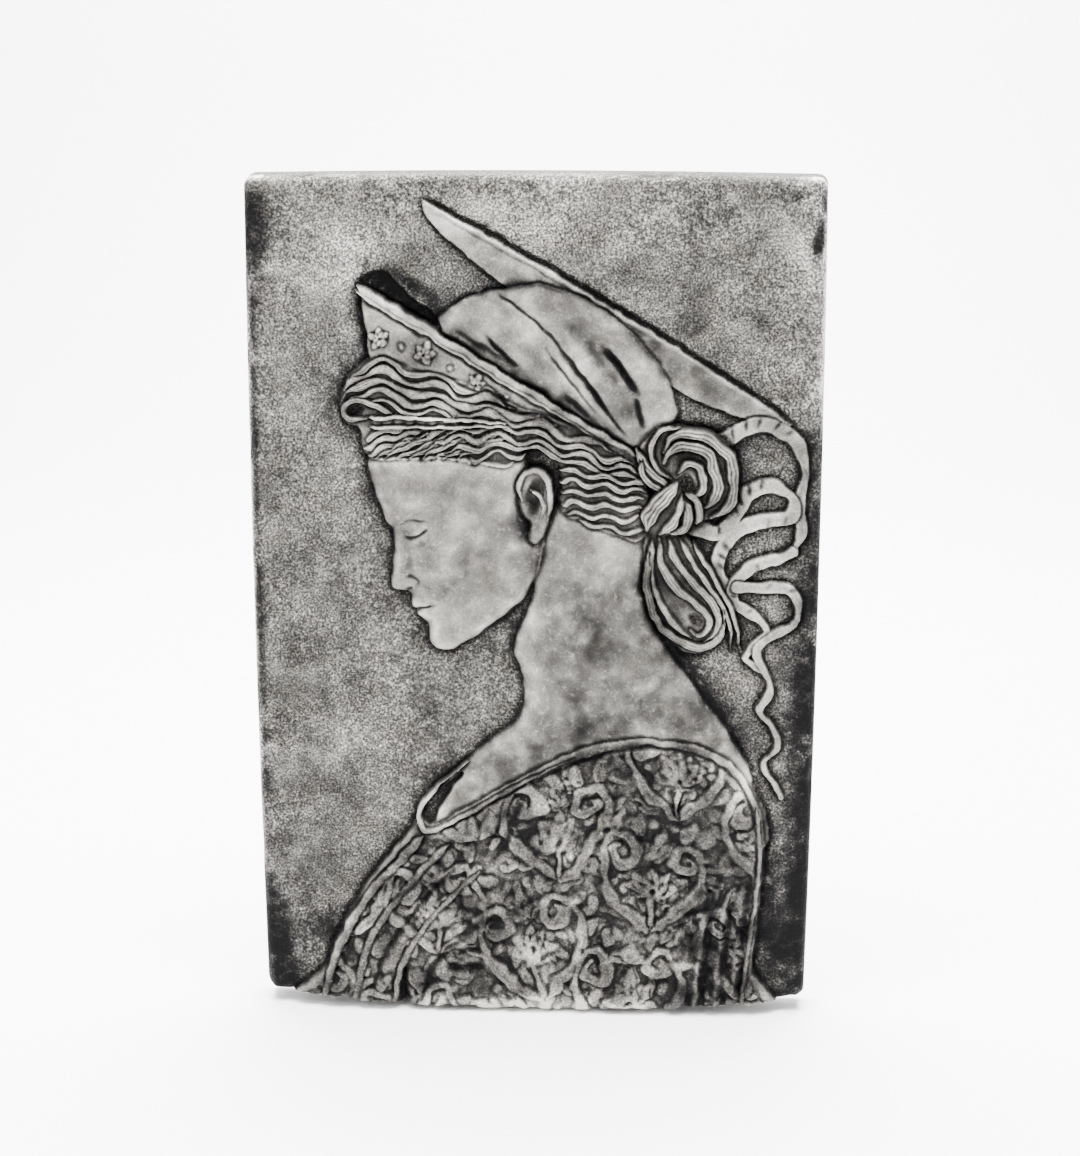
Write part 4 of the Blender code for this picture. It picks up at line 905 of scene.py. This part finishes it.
patinaAndShade = {
    # how dark each part is all over, and what the parting lines of the strands add, with the
    # painted shade on the ribbons' edges and creases
    "ground": 0.44, "figure": 0.28, "cloth": 0.45, "hair": 0.23, "strands": 0.36,
    # the most that a hollow holds, and how much less that is on the plain ground and in the hair
    "most": 0.58, "lessOnGround": 0.08, "lessInHair": 0.18,
    # the cloth has kept more of the casting's grain than skin and hair, and darkens in patches
    "clothGrain": 0.3, "clothPatches": 0.09,
    # soot, and the painted shade laid along lines and in the crown's hollow, builds up to this
    # much, and this fast
    "sootAndShadeMost": 0.85, "sootAndShadePace": 0.8,
    # the rim is rubbed pale: where the sides begin, then strength and width on sides and on ends
    "sidesFrom": 140, "rubbedSides": (-0.45, 1.5), "rubbedEnds": (-0.04, 3.0),
    # soot in patches, with painted shade in the deep hollow behind the crown's tip: middle, half
    # size, turn and strength, below zero where the stone is bare
    "patches": ((153, -100, 12, 122, 0, 2.6), (150, -196, 19, 42, 0, 1.6),
        (-149, -205, 10.5, 37, 4, 6.0), (-123, -190, 9, 13, -25, 0.45), (-148, 196, 9, 30, 0, 0.6),
        (-68, 166, 20, 7.5, -33, 2.2), (150, 70, 10, 30, 0, 0.3), (-100, 106, 10, 22, 0, 0.2),
        (10, -78, 60, 16, 28, 0.16), (112, 185, 30, 22, 0, 0.03), (112, -60, 26, 60, 20, 0.04),
        (40, -30, 36, 44, 20, 0.2), (95, -62, 26, 20, -50, 0.3), (-45, -70, 30, 30, 0, 0.1),
        (-128, -120, 30, 90, 0, 0.09), (62, -122, 46, 34, 0, 0.16), (-10, 35, 22, 20, 0, 0.08),
        (-62, 142, 26, 14, -28, 0.1), (20, -76, 52, 10, 24, 0.12), (-110, 10, 40, 70, 0, 0.05),
        (80, 68, 24, 22, 0, 0.12), (77, 8, 18, 28, 0, 0.12), (101, -14, 15, 44, 14, -0.16),
        (114, 48, 18, 26, 0, -0.12), (136, -20, 8, 60, 0, 0.12), (94, 210, 12, 9, 0, 0.22),
        (134, 216, 3.5, 3.5, 0, 0.6), (137, 204, 6, 6, 0, 0.2), (146, 194, 2.6, 8, -8, 1.2),
        (118, 154, 7, 6, 0, 0.16), (79, 150, 9, 7, 0, 0.22), (98, 138, 8, 6, 0, 0.2),
        (95, -190, 30, 46, 0, 0.26), (-60, -150, 20, 60, -40, 0.05), (-50, 20, 30, 22, -20, 0.06),
        (20, -5, 26, 20, 0, 0.1), (10, -228, 70, 6, 0, -0.42), (112, -100, 9, 14, -30, -0.3),
        (140, 190, 16, 36, 0, -0.1), (-100, 92, 8, 16, 0, -0.12), (20, 140, 44, 24, -35, 0.07),
        (-110, 190, 26, 30, 0, -0.1), (5, 205, 60, 16, 0, -0.09)),
    # soot along lines, with painted shade along the crown's rim, in the cap's folds and down the
    # crown's left edge: the line, its half width and strength
    "lines": (
        ([(-50, 150), (-30, 139), (0, 120), (30, 101), (52, 88)], 3.5, 0.5),
        ([(-30, 116), (-14, 108), (6, 102), (26, 94), (46, 84)], 3.5, 0.55),
        ([(-48, 154), (-20, 168), (6, 171), (40, 159), (66, 136), (77, 112)], 2.4, 0.3),
        ([(-86, 168), (-50, 146), (0, 114), (40, 90)], 1.6, 0.25),
        ([(-90, 165), (-89, 150), (-86, 134)], 3.0, 0.55),
        ([(37, 139), (45, 128), (53, 115)], 1.6, 1.3),
        ([(-24, 144), (-15, 135), (-7, 128)], 1.2, 0.9),
        ([(14, 138), (26, 123), (38, 107), (46, 97)], 1.3, 0.6),
        ([(53, 113), (56, 104), (58, 96)], 1.3, 0.7),
        ([(14, 160), (30, 138), (46, 112), (54, 96)], 4.0, 0.28),
        ([(60, 30), (62, 0), (78, -28), (98, -58), (114, -86)], 5.5, 0.36),
        ([(44, 152), (80, 128), (116, 104)], 7.0, 0.16),
        ([(-40, 200), (0, 178), (30, 160)], 5.0, 0.1),
        ([(-52, -122), (-20, -106), (14, -90), (50, -77), (84, -77), (108, -90)], 3.0, 0.3),
        ([(-58, -126), (-80, -148), (-98, -176), (-110, -210), (-114, -232)], 5.0, 0.28),
        ([(14, -158), (-14, -174), (-38, -196), (-52, -216)], 3.5, 0.35),
        ([(-12, -104), (-18, -124), (-28, -144)], 3.0, 0.45),
        ([(100, -140), (98, -180), (96, -232)], 4.0, 0.35),
        ([(112, -150), (111, -190), (108, -232)], 3.5, 0.35),
        ([(-146, 190), (-147.5, 80), (-147.5, -20), (-147, -120)], 1.5, 0.4),
        ([(126, -110), (128, -160), (122, -226)], 5.0, 0.5),
        ([(-8, 58), (-6, 40), (-2, 34)], 4.0, 0.22),
        ([(0, 34), (-4, 14), (-12, -14)], 4.0, 0.16),
    ),
}


def crests(h, reach):
    # the highest place within reach
    for axis in (0, 1):
        high = h
        for k in range(1, int(reach / slab["pitch"]) + 1):
            high = np.maximum(high, np.maximum(np.roll(h, k, axis), np.roll(h, -k, axis)))
        h = high
    return h


def rimRubbing(relief):
    # how much paler the rim is, from how far inside the slab's edge each place lies
    x, z = relief.x, relief.z
    bow = 1 - (x / slab["width"] * 2) ** 2
    drop = np.where(z > 0, slab["topRise"], slab["bottomDrop"])
    rim = slab["height"] / 2 + drop * bow - np.abs(z)
    bow = 1 - (z / slab["height"] * 2) ** 2
    rim = np.minimum(rim, slab["width"] / 2 + slab["sideBow"] * bow - np.abs(x))
    sides = np.abs(x) > patinaAndShade["sidesFrom"]
    pairs = zip(patinaAndShade["rubbedSides"], patinaAndShade["rubbedEnds"])
    strength, width = (np.where(sides, *pair) for pair in pairs)
    return strength * np.exp(-(np.clip(rim, 0, None) / width) ** 2)


def sootAndShadeOn(relief):
    sootAndShade = np.zeros_like(relief.h)
    for px, pz, across, up, turn, strength in patinaAndShade["patches"]:
        u, v = turned(relief.x - px, relief.z - pz, turn)
        sootAndShade += strength * np.exp(-((u / across) ** 2 + (v / up) ** 2) ** 1.5)
    for points, width, strength in patinaAndShade["lines"]:
        w, d, s, _ = relief.along(smoothLine(points), width * 2.5)
        sootAndShade[w] += strength * np.exp(-(d / width) ** 2) * ease(np.minimum(s, 1 - s) / 0.15)
    return np.where(sootAndShade > 0, patinaAndShade["sootAndShadeMost"] * (1 - np.exp(-sootAndShade / patinaAndShade["sootAndShadePace"])), sootAndShade)


def grimeAndShade(relief):
    # dark in the hollows and along every edge, pale where hands and cloths have rubbed; with
    # painted shade down the flanks of raised forms and along some edges and folds, and crests made
    # paler partly by wear and partly as a painted highlight
    h = relief.h
    near, mid, far, broad = (soften(h, reach) - h for reach in (0.6, 1.6, 4.5, 9.0))
    # how far each place lies below the crests near it: painted shade down the flanks of locks and
    # cords, deepest in the gaps between them, where the dirt lies
    flankShadeAndGapDirt = soften(crests(h, 2.0), 1.0) - h
    cloud, blotch = cloudy(relief, 11, 8.0), cloudy(relief, 12, 2.2)
    patchy, thick = cloudy(relief, 16, 5.0), cloudy(relief, 15, 4.0)
    smudge = 0.6 * cloudy(relief, 13, 4.0) + 0.4 * cloudy(relief, 14, 1.2)
    deep = 0.35 * near + 0.42 * mid + 0.18 * far
    dirtAndShade = np.clip(deep, 0, None) + 0.10 * np.clip(broad, 0, None) * (1 + 0.3 * blotch)
    dirtAndShade = (dirtAndShade + 0.11 * np.clip(flankShadeAndGapDirt - 0.5, 0, 4)) * np.clip(1 + 0.35 * thick, 0.35, 1.6)
    plain = np.exp(-np.clip(soften(h, 0.8), 0, None) / 0.8)
    bare = plain.copy()
    veilAndShade = patinaAndShade["figure"] * (1 - plain) + patinaAndShade["ground"] * plain
    most = patinaAndShade["most"] - patinaAndShade["lessOnGround"] * plain
    for part, name in ((dress, "cloth"), (hair, "hair"), (knot, "hair"), (tail, "hair")):
        w, inside = relief.depthInside(smoothLine(part["outline"], True), 8)
        share = ease(inside / 5)
        veilAndShade[w] += (patinaAndShade[name] - veilAndShade[w]) * share
        if name == "hair":
            most[w] -= patinaAndShade["lessInHair"] * ease(inside / 3)
        else:
            bare[w] = np.maximum(bare[w], patinaAndShade["clothGrain"] * share)
            veilAndShade[w] += patinaAndShade["clothPatches"] * share * patchy[w]
    # there is only so much that a hollow holds; the crests are made paler, partly rubbed wear and
    # partly a painted highlight
    dirtAndShade = most * (1 - np.exp(-dirtAndShade / most)) - 0.16 * np.clip(-deep, 0, 0.8)
    # dirt in the strands' parting lines, and painted shade on the ribbons' edges and creases
    veilAndShade = veilAndShade + patinaAndShade["strands"] * relief.lines * (1 - 0.6 * plain)
    veilAndShade = veilAndShade + 0.05 * cloud + (0.03 + 0.03 * (1 - plain)) * smudge + 0.025 * blotch
    sootAndShade = sootAndShadeOn(relief) * (1 + 0.22 * smudge + 0.22 * blotch)
    # soot slides off what stands up, and the painted shade thins there with it
    sootAndShade = np.where(sootAndShade > 0, sootAndShade * (1 - 0.5 * ease(-(mid + 0.5 * far) / 1.2)), sootAndShade)
    rubbed = rimRubbing(relief) * (1 + 0.5 * smudge + 0.3 * blotch)
    return veilAndShade + dirtAndShade + sootAndShade + rubbed, bare


def newObject(name, data):
    thing = bpy.data.objects.new(name, data)
    bpy.context.scene.collection.objects.link(thing)
    return thing


def meshFrom(bm, name):
    mesh = bpy.data.meshes.new(name)
    bm.to_mesh(mesh)
    bm.free()
    return mesh


def coordinates(mesh):
    places = np.empty(len(mesh.vertices) * 3, np.float32)
    mesh.vertices.foreach_get("co", places)
    return places.reshape(-1, 3).astype(float)


def thinned(thing, share):
    # the object's mesh with this share of its triangles
    modifier = thing.modifiers.new("thin", "DECIMATE")
    modifier.ratio = share
    modifier.use_collapse_triangulate = True
    graph = bpy.context.evaluated_depsgraph_get()
    mesh = bpy.data.meshes.new_from_object(thing.evaluated_get(graph))
    bpy.data.objects.remove(thing)
    return mesh


def makeFace(relief):
    # an even grid, pulled to the slab's outline and raised to the carving
    halfWidth, halfHeight = slab["width"] / 2, slab["height"] / 2
    cols, rows = int(slab["width"] / slab["pitch"]), int(slab["height"] / slab["pitch"])
    bm = bmesh.new()
    bmesh.ops.create_grid(bm, x_segments=cols, y_segments=rows, size=0.5)
    mesh = meshFrom(bm, "face")
    places = coordinates(mesh)
    u, v = places[:, 0] * slab["width"], places[:, 1] * slab["height"]
    inside = np.minimum(halfWidth - np.abs(u), halfHeight - np.abs(v))
    a = np.clip(np.abs(u) - (halfWidth - slab["corner"]), 0, None)
    b = np.clip(np.abs(v) - (halfHeight - slab["corner"]), 0, None)
    drawnIn = np.where(a * b > 0, np.maximum(a, b) / np.maximum(np.hypot(a, b), 1e-9), 1)
    x = np.sign(u) * (np.abs(u) - a + a * drawnIn)
    z = np.sign(v) * (np.abs(v) - b + b * drawnIn)
    x = x * (1 + slab["sideBow"] / halfWidth * (1 - (v / halfHeight) ** 2))
    drop = np.where(v > 0, slab["topRise"], slab["bottomDrop"])
    z = z + (1 - (u / halfWidth) ** 2) * drop * v / halfHeight
    swell = slab["swell"] * (1 - (x / halfWidth) ** 2) * (1 - (z / halfHeight) ** 2)
    y = slab["ground"] + np.clip(swell, 0, None) + sample(relief.h, relief, x, z)
    y = y - slab["edge"] * (1 - roundOver(inside / slab["edge"]))
    # nothing stands out past the solid
    deepest = -cadBox[0][1] * 1000 - 0.05
    y = np.minimum(y, deepest)
    mesh.vertices.foreach_set("co", (np.c_[x, -y, z] / 1000).astype(np.float32).ravel())
    share = slab["triangles"] / (2 * cols * rows)
    return thinned(newObject("face", mesh), share)


def made(result, kind):
    # what an extrusion gave, of one kind
    return [g for g in result["geom"] if isinstance(g, kind)]


def openEdges(result):
    return [e for e in made(result, bmesh.types.BMEdge) if e.is_boundary]


def makePlaque(relief):
    # the carved face, the sides in steps down to the back, and the back with its hanging recess
    bm = bmesh.new()
    bm.from_mesh(makeFace(relief))
    rim = [e for e in bm.edges if e.is_boundary]
    for share in (0.5, 1.0):
        rim = openEdges(bmesh.ops.extrude_edge_only(bm, edges=rim))
        for v in {v for e in rim for v in e.verts}:
            v.co.x *= 1 + slab["draft"] / slab["width"]
            v.co.z *= 1 + slab["draft"] / slab["height"]
            v.co.y = 0 if share == 1 else v.co.y * 0.5
    w, h = slab["hangerWidth"] / 2000, slab["hangerHeight"] / 2000
    middle = slab["hangerZ"] / 1000
    corners = [bm.verts.new((sx * w, 0, middle + sz * h))
               for sx, sz in ((-1, -1), (1, -1), (1, 1), (-1, 1))]
    mouth = [bm.edges.new((a, b)) for a, b in zip(corners, corners[1:] + corners[:1])]
    bmesh.ops.triangle_fill(bm, edges=rim + mouth, use_beauty=True)
    sunk = bmesh.ops.extrude_edge_only(bm, edges=mouth)
    for v in made(sunk, bmesh.types.BMVert):
        v.co.y = -slab["hangerDepth"] / 1000
    bmesh.ops.contextual_create(bm, geom=openEdges(sunk))
    bmesh.ops.recalc_face_normals(bm, faces=bm.faces)
    mesh = meshFrom(bm, "plaqueStone")
    mesh.shade_smooth()
    mesh.set_sharp_from_angle(angle=math.radians(60))
    # what the material reads: how dark each place has gone, painted shade and highlight included,
    # and how much of it is plain ground
    places = coordinates(mesh) * 1000
    front = places[:, 1] < slab["edge"] - slab["ground"] + 1
    dark, bare = grimeAndShade(relief)
    for name, field, elsewhere in (("grimeAndShade", dark, 0.5), ("bare", bare, 1)):
        values = np.where(front, sample(field, relief, places[:, 0], places[:, 2]), elsewhere)
        layer = mesh.attributes.new(name, "FLOAT", "POINT")
        layer.data.foreach_set("value", values.astype(np.float32))
    return newObject("plaqueStone", mesh)


class Nodes:
    # a short way to write a node tree
    def __init__(self, material):
        material.use_nodes = True
        self.tree = material.node_tree
        self.shader = self.tree.nodes["Principled BSDF"]

    def join(self, value, socket):
        if isinstance(value, bpy.types.NodeSocket):
            self.tree.links.new(value, socket)
        else:
            socket.default_value = value

    def add(self, kind, inputs=None, output=0, **settings):
        node = self.tree.nodes.new(kind)
        for name, value in settings.items():
            setattr(node, name, value)
        for name, value in (inputs or {}).items():
            self.join(value, node.inputs[name])
        return node.outputs[output]

    def math(self, operation, a, b):
        return self.add("ShaderNodeMath", {0: a, 1: b}, operation=operation)

    def span(self, value, low, high, toLow=0.0, toHigh=1.0):
        inputs = {"Value": value, "From Min": low, "From Max": high,
                  "To Min": toLow, "To Max": toHigh}
        return self.add("ShaderNodeMapRange", inputs, clamp=True)

    def noise(self, place, scale, detail, rough):
        inputs = {"Vector": place, "Scale": scale, "Detail": detail, "Roughness": rough}
        return self.add("ShaderNodeTexNoise", inputs)

    def mix(self, share, a, b):
        return self.add("ShaderNodeMix", {0: share, 6: a, 7: b}, 2, data_type="RGBA")


stone = {
    "pale": (0.50, 0.485, 0.445, 1), "warm": (0.44, 0.415, 0.375, 1),
    "sootAndShade": (0.0012, 0.0012, 0.0015, 1),
    # the share of light left by one full step of dirt and painted shade, and the most steps there
    # are
    "depth": 0.010, "most": 1.4,
    # each noise: scale, detail and roughness
    "pits": (840, 2.5, 0.5), "fine": (1500, 2, 0.5),
    "blotch": (60, 5, 0.65), "flecks": (310, 3, 0.65),
    # what it is stretched from and to
    "pitsSpan": (0.35, 0.68, -0.46, 0.54), "fineSpan": (0.35, 0.65),
    "blotchSpan": (0.35, 0.7, -0.03, 0.06), "flecksSpan": (0.54, 0.74, 0, 0.42),
    "warmSpan": (0.4, 0.62),
    # how much of the pits and the fine grain shows on the figure and on the bare ground
    "pitsShown": (0.08, 0.54), "fineShown": (0.05, 0.16),
    "pitsSunk": (0.35, 1.0), "fineRaised": 0.3,
    "roughness": (0.75, 0.6), "specular": 0.04, "bump": 0.6, "bumpHeight": 0.0003,
}


def makeStone():
    material = bpy.data.materials.new("castStone")
    n = Nodes(material)
    place = n.add("ShaderNodeTexCoord", output=3)
    dark = n.add("ShaderNodeAttribute", output=2, attribute_name="grimeAndShade")
    bare = n.add("ShaderNodeAttribute", output=2, attribute_name="bare")
    fine = n.span(n.noise(place, *stone["fine"]), *stone["fineSpan"])
    blotch = n.noise(place, *stone["blotch"])
    # dirt caught in small pits, most on the plain ground
    pits = n.span(n.noise(place, *stone["pits"]), *stone["pitsSpan"])
    total = n.math("ADD", dark, n.math("MULTIPLY", n.span(bare, 0, 1, *stone["pitsShown"]), pits))
    grain = n.math("SUBTRACT", fine, 0.5)
    total = n.math("ADD", total, n.math("MULTIPLY", grain, n.span(bare, 0, 1, *stone["fineShown"])))
    total = n.math("ADD", total, n.span(blotch, *stone["blotchSpan"]))
    total = n.math("MINIMUM", n.math("MAXIMUM", total, 0.0), stone["most"])
    # pale flecks where the soot has chipped away
    flecks = n.span(n.noise(place, *stone["flecks"]), *stone["flecksSpan"])
    total = n.math("SUBTRACT", total, n.math("MULTIPLY", flecks, dark))
    # each step of dirt and painted shade takes the same share of the light
    clear = n.math("POWER", stone["depth"], total)
    body = n.mix(n.span(blotch, *stone["warmSpan"]), stone["pale"], stone["warm"])
    sunk = n.math("MULTIPLY", pits, n.span(bare, 0, 1, *stone["pitsSunk"]))
    height = n.math("SUBTRACT", n.math("MULTIPLY", fine, stone["fineRaised"]), sunk)
    relief = {"Strength": stone["bump"], "Distance": stone["bumpHeight"], "Height": height}
    finish = {
        "Base Color": n.mix(clear, stone["sootAndShade"], body),
        "Roughness": n.span(total, 0, 1, *stone["roughness"]),
        "Specular IOR Level": stone["specular"],
        "Normal": n.add("ShaderNodeBump", relief),
    }
    for name, value in finish.items():
        n.join(value, n.shader.inputs[name])
    return material


# the paper, in metres: half its width, how far back it runs, its bend and how far up it goes
stage = {"halfWidth": 3.0, "far": 1.5, "bend": 0.5, "rise": 1.6, "white": 0.95, "roughness": 0.9}


def makeStage(floorZ):
    # one sheet of pale paper: a floor, a round bend and a wall behind
    paper = bpy.data.materials.new("paper")
    n = Nodes(paper)
    n.join((stage["white"], stage["white"], stage["white"], 1), n.shader.inputs["Base Color"])
    n.join(stage["roughness"], n.shader.inputs["Roughness"])
    bm = bmesh.new()
    half, far, bend = stage["halfWidth"], stage["far"], stage["bend"]
    bmesh.ops.create_grid(bm, x_segments=1, y_segments=1, size=half)
    bmesh.ops.translate(bm, vec=(0, far - half, floorZ), verts=bm.verts)
    back = [e for e in bm.edges if all(v.co.y > far - 0.1 for v in e.verts)]
    centre = (0, far, floorZ + bend)
    bmesh.ops.spin(bm, geom=back, cent=centre, axis=(1, 0, 0), angle=math.pi / 2, steps=16)
    top = [e for e in bm.edges if all(v.co.z > floorZ + bend * 0.999 for v in e.verts)]
    wall = made(bmesh.ops.extrude_edge_only(bm, edges=top), bmesh.types.BMVert)
    bmesh.ops.translate(bm, vec=(0, 0, stage["rise"]), verts=wall)
    mesh = meshFrom(bm, "paperSweep")
    mesh.shade_smooth()
    mesh.materials.append(paper)
    sweep = newObject("paperSweep", mesh)


# each lamp: where it is, where it points, its size and its power
light = {
    "key": ((-1.0, -1.3, 1.5), (0, 0, 0), 1.0, 34),
    "fill": ((1.4, -1.5, 0.5), (0, 0, 0), 1.6, 16),
    "top": ((0, 0.0, 1.5), (0, 0.34, 0.1), 1.4, 290),
    "wallWash": ((0, 1.1, 1.9), (0, 1.9, 0.2), 1.6, 200),
}
sky = 0.75


def makeLights():
    for name, (place, aim, size, power) in light.items():
        lamp = bpy.data.lights.new(name, "AREA")
        lamp.size = size
        lamp.energy = power
        thing = newObject(name, lamp)
        thing.location = place
        thing.rotation_euler = (Vector(aim) - Vector(place)).to_track_quat("-Z", "Y").to_euler()
    world = bpy.data.worlds.new("studio")
    world.use_nodes = True
    background = world.node_tree.nodes["Background"]
    background.inputs["Color"].default_value = (1, 1, 1, 1)
    background.inputs["Strength"].default_value = sky
    bpy.context.scene.world = world


view = {
    "place": (0.0591, -1.158, 0.29725), "right": (0.998791, 0.049158, 0.000085),
    "up": (-0.011926, 0.240629, 0.970544), "back": (0.047689, -0.969371, 0.240925),
    "lens": 68.51, "sensor": 36,
}


def makeCamera():
    lens = bpy.data.cameras.new("camera")
    lens.lens = view["lens"]
    lens.sensor_width = view["sensor"]
    thing = newObject("camera", lens)
    turn = Matrix((view["right"], view["up"], view["back"])).transposed().to_4x4()
    thing.matrix_world = Matrix.Translation(view["place"]) @ turn
    bpy.context.scene.camera = thing


relief = carveFigure()
print("relief carved, highest", round(float(relief.h.max()), 2), "mm")
plaque = makePlaque(relief)
print("plaque made,", len(plaque.data.polygons), "faces")
plaque.data.materials.append(makeStone())
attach(plaque, "root")
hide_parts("plaque")
print("stone finished")
makeStage(cadBox[0][2])
makeLights()
makeCamera()
print("stage, lights and camera set")
